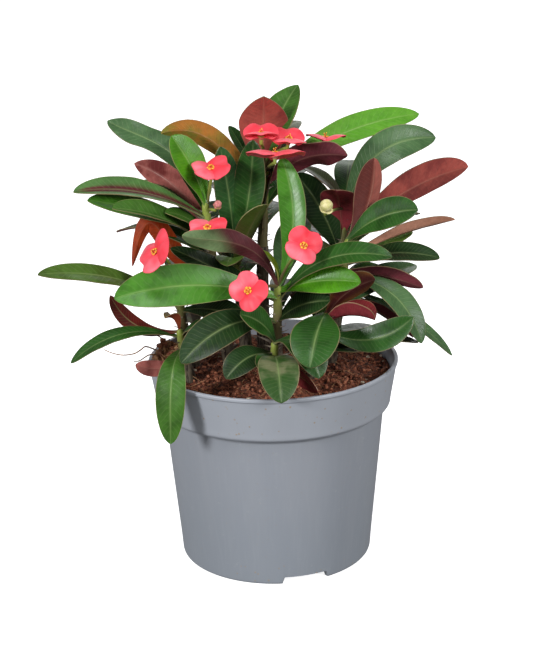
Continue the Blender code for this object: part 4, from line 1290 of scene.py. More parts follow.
# ---- pieces -------------------------------------------------------------------------------------
@dataclass
class Palette:
    """Every material, made once."""

    upper: bpy.types.Material
    under: bpy.types.Material
    stalk: bpy.types.Material
    bark: bpy.types.Material
    thorn: bpy.types.Material
    bract: bpy.types.Material
    cup: bpy.types.Material
    gland: bpy.types.Material
    anther: bpy.types.Material
    cream: bpy.types.Material
    pink: bpy.types.Material
    soil: bpy.types.Material
    crumb: bpy.types.Material
    coir: bpy.types.Material
    perlite: bpy.types.Material
    pot: bpy.types.Material

    @classmethod
    def mix(cls) -> "Palette":
        """Builds the materials from their finishes.

        Returns:
            All of them.
        """
        return cls(
            upper=LeafFinish("waxy_leaf_upper", "#a9bd7c", "#a08a68", vein_share=0.4,
                             midrib_share=0.6, side_share=0.1, relief_mm=0.2, roughness=0.38,
                             coat=0.1).material(),
            under=LeafFinish("waxy_leaf_under", "#c09a80", "#8f6a56", vein_share=0.3,
                             midrib_share=0.4, side_share=0.07, relief_mm=0.22, roughness=0.5,
                             coat=0.05).material(),
            stalk=StalkFinish("green_stalk", "#93a346", "#5c5434").material(),
            bark=BarkFinish().material(),
            thorn=ThornFinish().material(),
            bract=BractFinish("petal_like_bract", "#d8303c", "#ef4a56").material(),
            cup=StalkFinish("bract_cup", "#a8a24a", "#c9766a").material(),
            gland=MoistFinish("nectar_gland", "#eaa22a", "#f2bd4a", 0.8).material(),
            anther=MoistFinish("flower_heart", "#c9482a", "#e07a34", 0.7, 0.5).material(),
            cream=MoistFinish("cream_bud_tissue", "#d8cf9a", "#c4bf7c", 2.0, 0.45).material(),
            pink=MoistFinish("pink_bud_tissue", "#d98f8a", "#c46f70", 1.5, 0.45).material(),
            soil=SoilFinish("damp_peat", "#35170c", "#844830", "#bc8664").material(),
            crumb=SoilFinish("peat_crumb", "#6a3420", "#a4664a", "#cfa080", 0.3).material(),
            coir=PlainFinish("coir_fibre", "#7c5038", "#c09468", 3.0, 0.8).material(),
            perlite=PlainFinish("perlite", "#d9cbb8", "#b8a48c", 0.8, 0.9).material(),
            pot=PolypropyleneFinish().material(),
        )


def finish_piece(piece: bpy.types.Object, nodes: list[str]) -> None:
    """Seats a piece on the frame in place of its CAD nodes and logs it.

    Args:
        piece: The piece.
        nodes: The nodes that it replaces.
    """
    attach(piece, "root")
    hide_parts(*nodes)
    LOG.info("%s: %d faces", piece.name, len(piece.data.polygons))


@dataclass
class Foliage:
    """The green top of a shoot with its leaves and its flower stalks."""

    name: str
    shoot: Shoot
    rows: int = 28
    across: int = 11
    blade_mm: float = 0.7
    petiole_mm: float = 1.0          # added thickness at the foot
    petiole_reach: float = 0.07      # share of the length in which it dies away
    ruffle_mm: float = 0.35
    rib_width: float = 0.09          # share of the half width
    rib_mm: float = 0.45             # how far the midrib stands out below
    groove_mm: float = 0.12          # how deep it lies above
    trough: float = 0.03             # roundness of the fold along the midrib
    node_mm: float = 3.2             # between the spines of the green top

    def build(self, palette: Palette) -> None:
        """Builds and dresses the piece.

        Args:
            palette: The materials.
        """
        maker = MeshMaker()
        for i, leaf in enumerate(self.shoot.leaves):
            self._leaf(maker, leaf, i)
        self._top(maker)
        for bloom in self.shoot.blooms:
            self._stalk(maker, bloom)
        piece = maker.make("leaves_" + self.name,
                           [palette.upper, palette.under, palette.stalk, palette.thorn])
        finish_piece(piece, ["foliage_" + self.name])

    def _leaf(self, maker: MeshMaker, leaf: Leaf, index: int) -> None:
        """Adds one blade: upper face, underside with a raised midrib, and the margin between.

        Args:
            maker: What to add it to.
            leaf: The leaf.
            index: Its number on the shoot.
        """
        foot = shoot_point(self.shoot, leaf.at)
        fold = math.radians(leaf.fold)
        seed = 7.3 * index + 0.31 * leaf.heading + leaf.length
        trough, flat = math.sqrt(self.trough), math.sqrt(1 + self.trough)
        upper_rows, under_rows, marks = [], [], []
        for i in range(self.rows):
            t = 1 - (1 - i / (self.rows - 1)) ** 1.25
            centre, right, upper = blade_axes(leaf, foot, t)
            share = half_width(t, leaf.blunt)
            half = max(TIP_HALF_WIDTH, leaf.width / 2 * share)
            top_row, low_row, mark_row = [], [], []
            for a in np.linspace(-1, 1, self.across):
                bend = (math.sqrt(a * a + self.trough) - trough) / (flat - trough)
                wave = margin_wave(leaf, t, a) * abs(a) ** 1.5 * share
                ruffle = wobble(t * 7 + seed, 3.1 * np.sign(a), seed)
                ruffle = self.ruffle_mm * share * abs(a) ** 3 * ruffle
                curl = -0.05 * half * abs(a) ** 4
                p = centre + right * a * half * math.cos(fold)
                p = p + upper * (bend * half * math.sin(fold) + wave + ruffle + curl)
                rib = math.exp(-(a / self.rib_width) ** 2) * (1 - 0.7 * t)
                thick = self.blade_mm * (1 - 0.45 * a * a)
                thick += self.petiole_mm * math.exp(-t / self.petiole_reach)
                top_row.append(p + upper * (thick / 2 - self.groove_mm * rib))
                low_row.append(p - upper * (thick / 2 + self.rib_mm * rib))
                mark_row.append((t, a, seed % 1))
            upper_rows.append(top_row)
            under_rows.append(low_row)
            marks.append(mark_row)
        top, low, marks = np.array(upper_rows), np.array(under_rows), np.array(marks)
        face_up, face_down = leaf.tone.value
        maker.grid(top, 0, marks, face_up, flip=True)
        maker.grid(low, 1, marks, face_down)
        # The margin closes the blade all round.
        for column, flip in ((0, False), (-1, True)):
            maker.seam(top[:, column], low[:, column], marks[:, column], 0, face_up, flip)
        for row, flip in ((0, True), (-1, False)):
            maker.seam(top[row], low[row], marks[row], 0, face_up, flip)

    def _top(self, maker: MeshMaker) -> None:
        """Adds the green top with the paired spines of its old leaves.

        Args:
            maker: What to add it to.
        """
        crown, tip = np.array(self.shoot.crown, float), np.array(self.shoot.tip, float)
        length = np.linalg.norm(tip - crown)
        count = max(6, int(length / 1.6))
        points = [crown + (tip - crown) * (i / (count - 1)) for i in range(count)]
        radii = [SHOOT_RADIUS * (1.25 - 0.4 * i / (count - 1)) for i in range(count)]
        points.append(tip + unit(tip - crown) * 1.2)
        radii.append(SHOOT_RADIUS * 0.35)
        add_tube(maker, points, radii, 16, 2, bark_mm=0.25)
        axis = unit(tip - crown)
        for i in range(int(length / self.node_mm)):
            at = crown + axis * (1.5 + self.node_mm * i)
            for side in (0, 180):
                out = direction(GOLDEN_ANGLE * i + side, 18)
                add_spine(maker, at + out * 1.4, out, 4.5 + 2.0 * wobble(i * 1.9, side), 3)

    def _stalk(self, maker: MeshMaker, bloom: Bloom) -> None:
        """Adds a flower stalk that comes up square under its bloom.

        Args:
            maker: What to add it to.
            bloom: The bloom.
        """
        start = shoot_point(self.shoot, bloom.at)
        centre, _, _, axis = bloom_axes(self.shoot, bloom)
        end = centre - axis * (CUP_DEPTH + GAP)
        under = end - axis * 1.5
        knee = (start + under) / 2 + over(bloom.heading, bloom.rise) * bloom.arch - axis * 1.5
        path = [start * (1 - t) ** 2 + knee * 2 * (1 - t) * t + under * t * t
                for t in np.linspace(0, 1, 16)]
        path.append(end + axis * GAP)
        radii = [STALK_RADIUS * (1.05 - 0.15 * math.sin(math.pi * i / 16)) for i in range(17)]
        add_tube(maker, path, radii, 12, 2)


def add_spine(maker: MeshMaker, foot: np.ndarray, out: np.ndarray, length: float, slot: int,
              radius: float = 0.45) -> None:
    """Adds one spine: broad at its foot, a little curved, sharp.

    Args:
        maker: What to add it to.
        foot: Where it starts.
        out: Which way it points.
        length: Its length in mm.
        slot: Material slot.
        radius: Its radius at the foot.
    """
    bow = np.array([0, 0, 1.0]) * 0.05 * length
    points = [foot + out * length * t + bow * t * t for t in (0, 0.15, 0.5, 0.8, 1)]
    radii = [radius * 1.5, radius, radius * 0.55, radius * 0.3, 0.05]
    add_tube(maker, points, radii, 7, slot)


@dataclass
class Stem:
    """A woody stem, from the soil to its crown, with its thorns."""

    name: str
    shoot: Shoot
    sides: int = 22
    rows: int = 34
    bark_mm: float = 0.32

    def build(self, palette: Palette) -> None:
        """Builds and dresses the piece.

        Args:
            palette: The materials.
        """
        maker = MeshMaker()
        crown = np.array(self.shoot.crown, float)
        upward = unit(np.array(self.shoot.tip, float) - crown)
        controls = [stem_point(self.shoot, t) for t in (0, 0.25, 0.5, 0.75)]
        controls.append(crown - upward * GAP)
        path = curve(controls, self.rows)
        radii = [STEM_RADIUS * (1.08 - 0.2 * i / (self.rows - 1)) for i in range(self.rows)]
        add_tube(maker, path, radii, self.sides, 0, bark_mm=self.bark_mm)
        self._thorns(maker)
        piece = maker.make("stem_bark_" + self.name, [palette.bark, palette.thorn])
        finish_piece(piece, ["stem_" + self.name])

    def _thorns(self, maker: MeshMaker) -> None:
        """Adds the thorns that the solid has.

        Args:
            maker: What to add them to.
        """
        solid = CadSolid("stem_" + self.name)
        crown_height = self.shoot.crown[2]
        buried = (STEM_DEPTH + SOIL_MOUND + 3) / (crown_height - SOIL_EDGE + STEM_DEPTH)
        count = int((crown_height - SOIL_EDGE - SOIL_MOUND - 3) / THORN_SPACING)
        for i in range(count):
            at = stem_point(self.shoot, buried + (1 - buried) * (i + 0.5) / count)
            for side in (0, 1):
                heading = GOLDEN_ANGLE * i + THORN_PAIR * side + self.shoot.foot[0] * 7
                reach = THORN_LENGTH * (0.8 + 0.3 * math.sin(1.9 * i + side))
                out = direction(heading, THORN_RISE)
                if solid.distance(at + out * (STEM_RADIUS + reach)) < 0.5:
                    add_spine(maker, at + out * (STEM_RADIUS * 0.8), out,
                              reach + STEM_RADIUS * 0.2, 1, THORN_RADIUS)


def bloom_axes(shoot: Shoot,
               bloom: Bloom) -> tuple[np.ndarray, np.ndarray, np.ndarray, np.ndarray]:
    """How a bloom stands.

    Args:
        shoot: Its shoot.
        bloom: The bloom.

    Returns:
        Its centre, its two flat directions and its axis.
    """
    centre = shoot_point(shoot, bloom.at) + direction(bloom.heading, bloom.rise) * bloom.length
    axis = direction(*bloom.face)
    reference = np.array([0, 0, 1.0]) if abs(axis[2]) < 0.95 else np.array([0, 1.0, 0])
    x = turned(unit(np.cross(reference, axis)), axis, bloom.spin)
    return centre, x, np.cross(axis, x), axis


@dataclass
class BloomHead:
    """A cup with two broad bracts, and the glands and anthers between them."""

    shoot: Shoot
    bloom: Bloom
    rings: int = 12
    fan: int = 34
    bract_mm: float = 0.55
    spread: float = 112.0            # half the angle that a bract fans over
    lower_share: float = 0.94        # size of the second bract
    notch: float = 0.19              # depth of the rim's notch, and the angle that it takes
    notch_spread: float = 0.26
    blushes: tuple[Tint, Tint] = (Tint("#ee4a5a", "#e83242"), Tint("#f4707f", "#ec4656"))

    def build(self, palette: Palette) -> None:
        """Builds and dresses the bracts and the eye.

        Args:
            palette: The materials.
        """
        axes = bloom_axes(self.shoot, self.bloom)
        maker = MeshMaker()
        self.add_cup(maker, axes)
        for side in (1, -1):
            self.add_bract(maker, self.bloom, axes, side)
        piece = maker.make("bracts_" + self.bloom.name, [palette.bract, palette.cup])
        finish_piece(piece, ["bloom_" + self.bloom.name])
        eye = MeshMaker()
        self._eye(eye, axes)
        piece = eye.make("glands_" + self.bloom.name, [palette.gland, palette.anther])
        finish_piece(piece, ["eye_" + self.bloom.name])

    @staticmethod
    def add_cup(maker: MeshMaker, axes: tuple) -> None:
        """Adds the little cup under the bracts, in slot 1.

        Args:
            maker: What to add it to.
            axes: How the bloom stands.
        """
        centre, _, _, axis = axes
        heights = (-CUP_DEPTH, -1.2, -0.6, 0.0, 0.25)
        radii = [0.85, 1.05, 1.4, 1.75, 1.85]
        add_tube(maker, [centre + axis * h for h in heights], radii, 16, 1)

    def add_bract(self, maker: MeshMaker, bloom: Bloom, axes: tuple, side: int) -> None:
        """Adds one kidney-shaped bract in slot 0, dished, with a rolled rim and a middle crease.

        Args:
            maker: What to add it to.
            bloom: Its bloom.
            axes: How the bloom stands.
            side: 1 for the upper bract, -1 for the lower one.
        """
        centre, x, y, axis = axes
        if side < 0:
            bloom = replace(bloom, size=bloom.size * self.lower_share)
            centre = centre + axis * 0.35
        cup = math.radians(bloom.cup)
        out = x * side * math.cos(cup) + axis * math.sin(cup)
        normal = axis * math.cos(cup) - x * side * math.sin(cup)
        foot = centre - out * 0.10 * bloom.size
        top, low, marks = [], [], []
        for i in range(self.rings + 1):
            s = i / self.rings
            top_row, low_row, mark_row = [], [], []
            for k in range(self.fan + 1):
                a = math.radians(self.spread) * (2 * k / self.fan - 1)
                notch = self.notch * math.exp(-(a / self.notch_spread) ** 2)
                r = bloom.size * (0.45 + 0.61 * math.cos(0.8 * a) ** 0.9 - notch)
                rim = centre + out * (r * math.cos(a)) + y * (r * math.sin(a)) * 1.12
                p = foot + (rim - foot) * s
                dish = 0.10 * bloom.size * math.sin(math.pi * s) * (0.4 + 0.6 * math.cos(a))
                crease = -0.08 * bloom.size * s * math.exp(-(a / 0.2) ** 2)
                flop = -0.07 * bloom.size * s ** 3
                ruffle = wobble(a * 2.2 + bloom.length, side, bloom.heading)
                ruffle = 0.05 * bloom.size * s * s * ruffle
                p = p + normal * (dish + crease + flop + ruffle)
                thick = self.bract_mm * (1 - 0.5 * s)
                top_row.append(p + normal * thick / 2)
                low_row.append(p - normal * thick / 2)
                mark_row.append((s, a / math.pi, 0.5 * side))
            top.append(top_row)
            low.append(low_row)
            marks.append(mark_row)
        top, low, marks = np.array(top), np.array(low), np.array(marks)
        tint = self.blushes[0 if side > 0 else 1]
        flip = side > 0
        maker.grid(top, 0, marks, tint, flip=not flip)
        maker.grid(low, 0, marks, tint, flip=flip)
        maker.seam(top[-1], low[-1], marks[-1], 0, tint, flip)
        maker.seam(top[:, 0], low[:, 0], marks[:, 0], 0, tint, flip)
        maker.seam(top[:, -1], low[:, -1], marks[:, -1], 0, tint, not flip)

    def _eye(self, maker: MeshMaker, axes: tuple) -> None:
        """Adds five glands in a ring round a hollow, with anthers standing in it.

        Args:
            maker: What to add them to.
            axes: How the bloom stands.
        """
        centre, x, y, axis = axes
        base = centre + axis * (EYE_SEAT - 0.35)
        add_ball(maker, base + axis * 0.45, (1.2, 1.2, 0.7), (x, y, axis), 1, 8, 16)
        for k in range(5):
            out = turned(x, axis, 72 * k + 20)
            across = np.cross(axis, out)
            add_ball(maker, base + out * 1.4 + axis * 0.85, (0.5, 0.8, 0.38), (out, across, axis),
                     0, 8, 12)
        for k in range(4):
            out = turned(x, axis, 90 * k + 50)
            tip = base + out * (0.4 + 0.12 * k) + axis * (1.9 + 0.25 * k)
            filament = [base + axis * 0.6, (base + tip) / 2 + axis * 0.3, tip]
            add_tube(maker, filament, [0.16, 0.13, 0.12], 6, 1)
            add_ball(maker, tip, (0.3, 0.3, 0.24), (x, y, axis), 0, 6, 8)


@dataclass
class Bud:
    """A closed bud with a small collar."""

    shoot: Shoot
    bloom: Bloom

    def build(self, palette: Palette) -> None:
        """Builds and dresses the piece.

        Args:
            palette: The materials.
        """
        centre, x, y, axis = bloom_axes(self.shoot, self.bloom)
        size = self.bloom.size
        flesh = palette.cream if self.bloom.name == "bud_cream" else palette.pink
        maker = MeshMaker()
        head = BloomHead(self.shoot, self.bloom, bract_mm=0.4)
        head.add_cup(maker, (centre, x, y, axis))
        collar = replace(self.bloom, size=size * 1.15, cup=20)
        for side in (1, -1):
            head.add_bract(maker, collar, (centre - axis * 0.6, x, y, axis), side)
        self._body(maker, centre + axis * size * 0.7, x, y, axis, size)
        piece = maker.make("closed_" + self.bloom.name, [flesh, palette.cup])
        finish_piece(piece, [self.bloom.name])

    @staticmethod
    def _body(maker: MeshMaker, centre: np.ndarray, x: np.ndarray, y: np.ndarray, axis: np.ndarray,
              size: float) -> None:
        """Adds the round body, with a dimple where it will open.

        Args:
            maker: What to add it to.
            centre: Its middle.
            x: One flat direction.
            y: The other.
            axis: Which way it points.
            size: Its radius.
        """
        rows = []
        for i in range(15):
            a = math.pi * i / 14
            dimple = 0.28 * math.exp(-(a / 0.35) ** 2)
            ring = []
            for k in range(20):
                b = 2 * math.pi * k / 20
                r = size * (1 + 0.03 * math.cos(5 * b) * math.sin(a))
                out = x * math.cos(b) + y * math.sin(b)
                ring.append(centre + out * r * math.sin(a) + axis * size * (math.cos(a) - dimple))
            rows.append(ring)
        maker.grid(np.array(rows), 0, round_off=True)


def level_ring(radius: float, z: float, sides: int) -> list[tuple[float, float, float]]:
    """A level circle of points about the pot's axis.

    Args:
        radius: Its radius.
        z: Its height.
        sides: How many points.

    Returns:
        The points.
    """
    turns = [2 * math.pi * k / sides for k in range(sides)]
    return [(radius * math.cos(a), radius * math.sin(a), z) for a in turns]


@dataclass
class Soil:
    """Peat and coir in the pot, with loose crumbs, fibres and a little perlite on top."""

    sides: int = 150
    rings: int = 64
    crumbs: int = 1900
    fibres: int = 420
    grains: int = 42
    roots: int = 90
    seed: int = 11
    crumb_mm: tuple[float, float] = (0.4, 1.25)
    grain_mm: tuple[float, float] = (0.6, 1.3)
    fibre_mm: tuple[float, float] = (3, 9)
    root_reach: float = 53.5         # how far from the axis a root can start

    def build(self, palette: Palette) -> None:
        """Builds and dresses the piece.

        Args:
            palette: The materials.
        """
        low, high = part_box("soil")
        edge = high.x / MM - 0.2
        maker = MeshMaker()
        rows = []
        for i in range(self.rings + 1):
            ring = level_ring(edge * i / self.rings, 0.0, self.sides)
            rows.append([(x, y, self.height(x, y)) for x, y, _ in ring])
        # Down the inside of the pot's wall, and closed underneath.
        foot = low.z / MM
        for z, radius in ((80.0, edge - 4.0), (72.0, 50.5), (foot, 44.0), (foot, 0.01)):
            rows.append(level_ring(radius, z, self.sides))
        maker.grid(np.array(rows), 0, round_off=True)
        dice = random.Random(self.seed)
        self._scatter(maker, dice, edge)
        piece = maker.make("peat_and_coir",
                           [palette.soil, palette.crumb, palette.coir, palette.perlite])
        finish_piece(piece, ["soil"])

    @staticmethod
    def height(x: float, y: float) -> float:
        """The surface: the solid's mound, clods and clump, with a roughness of its own.

        Args:
            x: Place across the pot.
            y: Place from front to back.

        Returns:
            Its height over the pot's base.
        """
        r = math.hypot(x, y) / 60
        mound = SOIL_EDGE + SOIL_MOUND * (1 - r * r)
        clods = (0.9 * math.sin(0.31 * x + 1.3) * math.sin(0.27 * y + 0.4)
                 + 0.5 * math.sin(0.83 * x + 0.61 * y))
        off = math.hypot(x - CLUMP[0], y - CLUMP[1]) / CLUMP_RADIUS
        clump = CLUMP_HEIGHT * math.exp(-off * off)
        rough = (0.9 * wobble(x * 0.45, y * 0.45) + 0.7 * wobble(x * 1.1, y * 1.1, 4)
                 + 0.4 * wobble(x * 2.3, y * 2.3, 9))
        return mound + clods + clump + rough

    def _scatter(self, maker: MeshMaker, dice: random.Random, edge: float) -> None:
        """Adds crumbs, fibres and perlite, denser on the clump.

        Args:
            maker: What to add them to.
            dice: The random numbers.
            edge: The soil's radius.
        """
        for i in range(self.crumbs + self.grains):
            x, y = self._spot(dice, edge, 0.12)
            size = dice.uniform(*self.crumb_mm)
            slot = 1
            if i >= self.crumbs:
                size, slot = dice.uniform(*self.grain_mm), 3
            centre = np.array([x, y, self.height(x, y) + size * 0.25])
            radii = (size, size * dice.uniform(0.6, 1.0), size * dice.uniform(0.5, 0.85))
            turn = dice.uniform(0, 360)
            axes = tuple(turned(a, WORLD_AXES[2], turn) for a in WORLD_AXES)
            add_ball(maker, centre, radii, axes, slot, 4, 6, 0.55)
        for i in range(self.fibres):
            x, y = self._spot(dice, edge - 3, 0.45)
            heading, rise = dice.uniform(0, 360), dice.uniform(-5, 35)
            length = dice.uniform(*self.fibre_mm)
            start = np.array([x, y, self.height(x, y)])
            way = direction(heading, rise)
            bend = np.array([dice.uniform(-1, 1), dice.uniform(-1, 1), dice.uniform(-0.2, 0.8)])
            bend = bend * length * 0.25
            path = [start, start + way * length * 0.5 + bend, start + way * length]
            add_tube(maker, curve(path, 6), [0.13, 0.12, 0.12, 0.11, 0.1, 0.06], 4, 2)
        self._root_mass(maker, dice)
        self._stray_roots(maker)

    def _spot(self, dice: random.Random, edge: float, clump_share: float) -> tuple[float, float]:
        """A place on the surface, now and then on the clump.

        Args:
            dice: The random numbers.
            edge: The radius that it stays within.
            clump_share: How often it is on the clump.

        Returns:
            Its x and y.
        """
        if dice.random() < clump_share:
            x, y = CLUMP[0] + dice.gauss(0, 5), CLUMP[1] + dice.gauss(0, 6)
            inward = min(1.0, (edge - 1.5) / math.hypot(x, y))
            return x * inward, y * inward
        r, a = (edge - 1.5) * math.sqrt(dice.random()), dice.uniform(0, 2 * math.pi)
        return r * math.cos(a), r * math.sin(a)

    def _root_mass(self, maker: MeshMaker, dice: random.Random) -> None:
        """Adds the knot of old roots on the clump at the left, with crumbs caught in it.

        Args:
            maker: What to add it to.
            dice: The random numbers.
        """
        for i in range(self.roots):
            a, out = dice.uniform(0, 2 * math.pi), dice.uniform(0.5, 6.0)
            x, y = CLUMP[0] - 1 + out * math.cos(a), CLUMP[1] - 6 + out * math.sin(a)
            inward = min(1.0, self.root_reach / math.hypot(x, y))
            x, y = x * inward, y * inward
            start = np.array([x, y, self.height(x, y) - 1])
            lift = np.array([dice.uniform(-4, 6), dice.uniform(-3, 3),
                             dice.uniform(4, 13) * (1.1 - out / 8)])
            turn = np.array([dice.uniform(-4, 4), dice.uniform(-3, 3), dice.uniform(-4, 1)])
            end = start + lift
            path = curve([start, start + lift * 0.5 + turn * 0.4, end, end + turn], 9)
            thick = dice.uniform(0.2, 0.75)
            add_tube(maker, path, [thick * (1 - 0.07 * k) for k in range(9)], 5, 2)
            size = dice.uniform(0.8, 2.0)
            add_ball(maker, path[dice.randrange(2, 8)], (size, size * 0.8, size * 0.7),
                     WORLD_AXES, 1 + i % 2, 4, 6, 0.55)

    @staticmethod
    def _stray_roots(maker: MeshMaker) -> None:
        """Adds the few hair roots that hang out over the rim at the left.

        Args:
            maker: What to add them to.
        """
        for controls in (((-52, -7, 103), (-59.7, -8, 107), (-62.6, -8, 105.5), (-66, -8, 103.6),
                          (-71.2, -8, 103), (-76, -8, 104), (-80.3, -8, 106)),
                         ((-52, -8, 102), (-58, -11, 104), (-63, -12, 101.5), (-66, -12, 101)),
                         ((-50, -4, 106), (-54, -5, 111), (-58, -6, 112))):
            path = curve([np.array(c, float) for c in controls], 22)
            add_tube(maker, path, [0.42 - 0.01 * i for i in range(22)], 5, 2)


@dataclass
class Pot:
    """A round moulded nursery pot."""

    height: float = 98.0
    rim: float = 60.0
    band_foot: float = 56.6
    band: float = 21.0
    step: float = 2.4
    body_top: float = 53.2
    body_foot: float = 47.2
    foot: float = 46.0
    wall: float = 1.3
    lip: float = 1.9
    ring: float = 2.4
    plate_height: float = 4.0
    plate: float = 1.6
    notch_heading: float = -73.0
    notch_width: float = 22.0
    notch_height: float = 3.6
    heel: float = 9.5                # height at which the wall starts
    lip_inset: float = 0.75          # of the band's top under the lip
    drain_holes: int = 6
    drain_circle: float = 30.0
    drain_radius: float = 4.0
    sides: int = 240

    def build(self, palette: Palette) -> None:
        """Builds and dresses the piece.

        Args:
            palette: The materials.
        """
        outline = self._outline()
        rows = []
        for radius, z in outline:
            ring = level_ring(radius, z, self.sides)
            rows.append([(x, y, max(z, self._notch(radius, z, 360 * k / self.sides)))
                         for k, (x, y, _) in enumerate(ring)])
        maker = MeshMaker()
        maker.grid(np.array(rows), 0, round_off=True)
        piece = maker.make("nursery_pot", [palette.pot])
        self._drain(piece)
        piece.data.set_sharp_from_angle(angle=math.radians(40))
        finish_piece(piece, ["pot"])

    def _notch(self, radius: float, z: float, degrees: float) -> float:
        """How high the foot ring is cut away.

        Args:
            radius: Radius of the point.
            z: Its height.
            degrees: Its heading.

        Returns:
            The height of the notch there, or 0.
        """
        if z > self.notch_height or radius < self.foot - self.ring - 1.5:
            return 0.0
        for i in range(3):
            away = (degrees - self.notch_heading - 120 * i + 180) % 360 - 180
            if abs(math.radians(away)) * self.foot < self.notch_width / 2:
                return self.notch_height
        return 0.0

    def _inner(self, z: float) -> float:
        """The inside radius.

        Args:
            z: Height over the base.

        Returns:
            The radius.
        """
        heights = (self.plate_height + self.plate, self.height - self.band - self.step,
                   self.height - self.band, self.height)
        radii = (self.body_foot - self.wall - 0.4, self.body_top - self.wall,
                 self.band_foot - self.wall - 0.6, self.rim - self.wall - 0.4)
        return float(np.interp(z, heights, radii))

    def _outline(self) -> list[tuple[float, float]]:
        """The section, from the axis under the plate, up the outside and down the inside.

        Returns:
            Radius and height of each point.
        """
        step_foot = self.height - self.band - self.step
        band_foot = self.height - self.band
        lip_foot = self.height - self.lip
        lip_inside = band_foot + 12
        floor = self.plate_height + self.plate
        top = self.rim - self.lip_inset
        sharp = [(0.02, self.plate_height), (self.foot - self.ring - 0.6, self.plate_height),
                 (self.foot - self.ring, 0), (self.foot - 0.9, 0)]
        heel = rounded([(self.foot - 0.9, 0), (self.foot + 0.5, 0.2),
                        (self.body_foot, self.heel)], 1.4)
        wall = [(self.body_foot + (self.body_top - self.body_foot) * k / 12,
                 self.heel + (step_foot - self.heel) * k / 12) for k in range(1, 12)]
        step = rounded([(self.body_top - 0.2, step_foot - 2), (self.body_top, step_foot),
                        (self.band_foot - 0.2, band_foot - 0.2),
                        (self.band_foot, band_foot + 2)], 0.9)
        band = [(self.band_foot + (top - self.band_foot) * k / 6,
                 band_foot + 2 + (self.band - self.lip - 3.2) * k / 6) for k in range(1, 6)]
        lip = rounded([(top, lip_foot - 1.0), (top + 0.1, lip_foot), (self.rim, lip_foot + 0.35),
                       (self.rim, self.height), (self.rim - self.lip, self.height),
                       (self._inner(lip_inside), lip_inside)], 0.45)
        inside = [(self._inner(z), z) for z in (band_foot, step_foot, 40, floor + 1)]
        inside += [(self._inner(floor) - 1, floor), (0.02, floor)]
        return sharp + heel + wall + step + band + lip + inside

    def _drain(self, piece: bpy.types.Object) -> None:
        """Cuts the drain holes through the bottom plate.

        Args:
            piece: The pot.
        """
        for i in range(self.drain_holes):
            centre = direction(360 / self.drain_holes * i, 0) * self.drain_circle
            maker = MeshMaker()
            add_tube(maker, [centre + (0, 0, 2), centre + (0, 0, 8)], [self.drain_radius] * 2,
                     32, 0)
            cutter = maker.make("drain_cutter", [], merge_mm=0.001)
            hole = piece.modifiers.new("drain", "BOOLEAN")
            hole.operation = "DIFFERENCE"
            hole.object = cutter
            hole.solver = "EXACT"
            cut = piece.evaluated_get(bpy.context.evaluated_depsgraph_get())
            mesh = bpy.data.meshes.new_from_object(cut)
            piece.modifiers.clear()
            piece.data = mesh
            bpy.data.objects.remove(cutter)


def rounded(corners: list[tuple[float, float]], radius: float,
            steps: int = 6) -> list[tuple[float, float]]:
    """A line through corners, each but the first and last rounded.

    Args:
        corners: Points as (radius, height).
        radius: How far from each corner the curve starts.
        steps: Points on each rounded corner.

    Returns:
        The rounded line.
    """
    path = [corners[0]]
    for before, corner, after in zip(corners, corners[1:], corners[2:]):
        b, c, a = np.array(before), np.array(corner), np.array(after)
        start = c + unit(b - c) * min(radius, np.linalg.norm(b - c) / 2)
        end = c + unit(a - c) * min(radius, np.linalg.norm(a - c) / 2)
        for k in range(steps + 1):
            t = k / steps
            path.append(tuple(start * (1 - t) ** 2 + c * 2 * t * (1 - t) + end * t * t))
    return path + [corners[-1]]


# ---- studio -------------------------------------------------------------------------------------
@dataclass(frozen=True)
class Lamp:
    """A soft area light aimed at the plant."""

    name: str
    place: tuple[float, float, float]
    size: float
    power: float


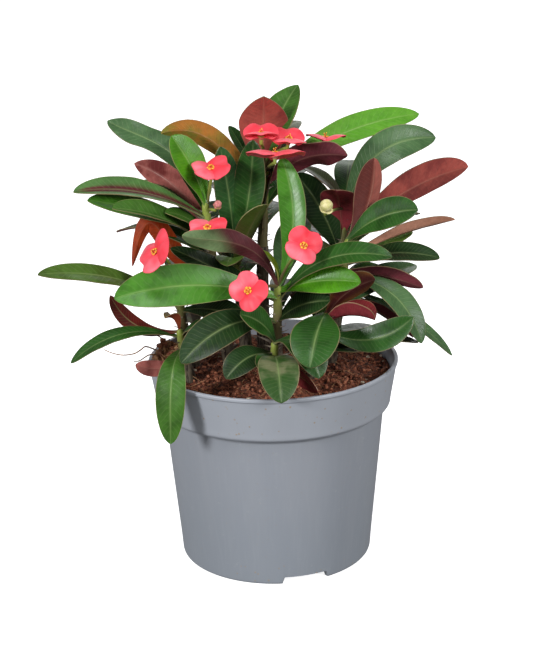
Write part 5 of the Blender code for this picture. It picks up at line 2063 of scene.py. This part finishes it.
@dataclass
class Studio:
    """Pale floor, soft light and the camera."""

    aim_mm: tuple[float, float, float] = (1.15, 0.0, 108.4)
    distance_mm: float = 750.0
    elevation: float = 18.27
    roll: float = 1.14
    lens: float = 83.84
    floor_m: float = 60.0
    floor_drop_mm: float = 0.2
    surround: float = 0.24
    lamps: tuple[Lamp, ...] = (
        Lamp("key", (-1.15, -1.05, 0.7), 0.4, 20.5),
        Lamp("fill", (1.15, -1.1, 0.8), 0.7, 17.5),
        Lamp("crown", (0.0, -0.5, 1.5), 0.6, 7.0),
        Lamp("back", (0.2, 1.5, 0.7), 1.0, 3.5),
    )

    def build(self) -> None:
        """Sets out the studio."""
        self._floor()
        self._light()
        self._camera()

    def _floor(self) -> None:
        """Adds the floor."""
        half = self.floor_m / 2
        mesh = bpy.data.meshes.new("studio_floor")
        corners = [(-half, -half, 0), (half, -half, 0), (half, half, 0), (-half, half, 0)]
        mesh.from_pydata(corners, [], [(0, 1, 2, 3)])
        paper = Shader("lit_white_paper")
        paper.set(Base_Color=linear("#e8e8e8"), Roughness=0.95,
                  Emission_Color=linear("#ffffff"), Emission_Strength=0.85)
        mesh.materials.append(paper.material)
        floor = bpy.data.objects.new("studio_floor", mesh)
        floor.location.z = -self.floor_drop_mm * MM
        floor.visible_diffuse = False
        floor.visible_glossy = False
        bpy.context.scene.collection.objects.link(floor)

    def _light(self) -> None:
        """Adds the lamps and an even white surround."""
        world = bpy.data.worlds.new("studio")
        world.use_nodes = True
        background = world.node_tree.nodes["Background"]
        background.inputs["Color"].default_value = linear("#ffffff")
        background.inputs["Strength"].default_value = self.surround
        bpy.context.scene.world = world
        aim = Vector(self.aim_mm) * MM
        for lamp in self.lamps:
            data = bpy.data.lights.new(lamp.name, "AREA")
            data.shape = "DISK"
            data.size = lamp.size
            data.energy = lamp.power
            made = bpy.data.objects.new(lamp.name, data)
            made.location = lamp.place
            made.rotation_mode = "QUATERNION"
            made.rotation_quaternion = (aim - made.location).to_track_quat("-Z", "Y")
            bpy.context.scene.collection.objects.link(made)

    def _camera(self) -> None:
        """Adds the camera."""
        e, r = math.radians(self.elevation), math.radians(self.roll)
        forward = np.array([0, math.cos(e), -math.sin(e)])
        level, upright = np.array([1.0, 0, 0]), np.array([0, math.sin(e), math.cos(e)])
        right = level * math.cos(r) - upright * math.sin(r)
        up = upright * math.cos(r) + level * math.sin(r)
        place = (np.array(self.aim_mm) - forward * self.distance_mm) * MM
        data = bpy.data.cameras.new("camera")
        data.lens = self.lens
        data.clip_start = 0.05
        camera = bpy.data.objects.new("camera", data)
        rotation = Matrix((right, up, -forward)).transposed().to_4x4()
        camera.matrix_world = Matrix.Translation(Vector(place)) @ rotation
        bpy.context.scene.collection.objects.link(camera)
        bpy.context.scene.camera = camera


def main() -> None:
    """Builds the plant, its pot and the studio."""
    logging.basicConfig(level=logging.INFO, format="%(name)s %(message)s")
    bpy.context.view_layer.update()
    palette = Palette.mix()
    plan = Plan()
    Pot().build(palette)
    Soil().build(palette)
    for name, shoot in plan.shoots.items():
        Stem(name, shoot).build(palette)
        Foliage(name, shoot).build(palette)
        for bloom in shoot.blooms:
            if bloom.name.startswith("bud"):
                Bud(shoot, bloom).build(palette)
            else:
                BloomHead(shoot, bloom).build(palette)
    Studio().build()
    bpy.context.scene.view_settings.view_transform = "Standard"
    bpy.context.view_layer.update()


if __name__ == "__main__":
    main()
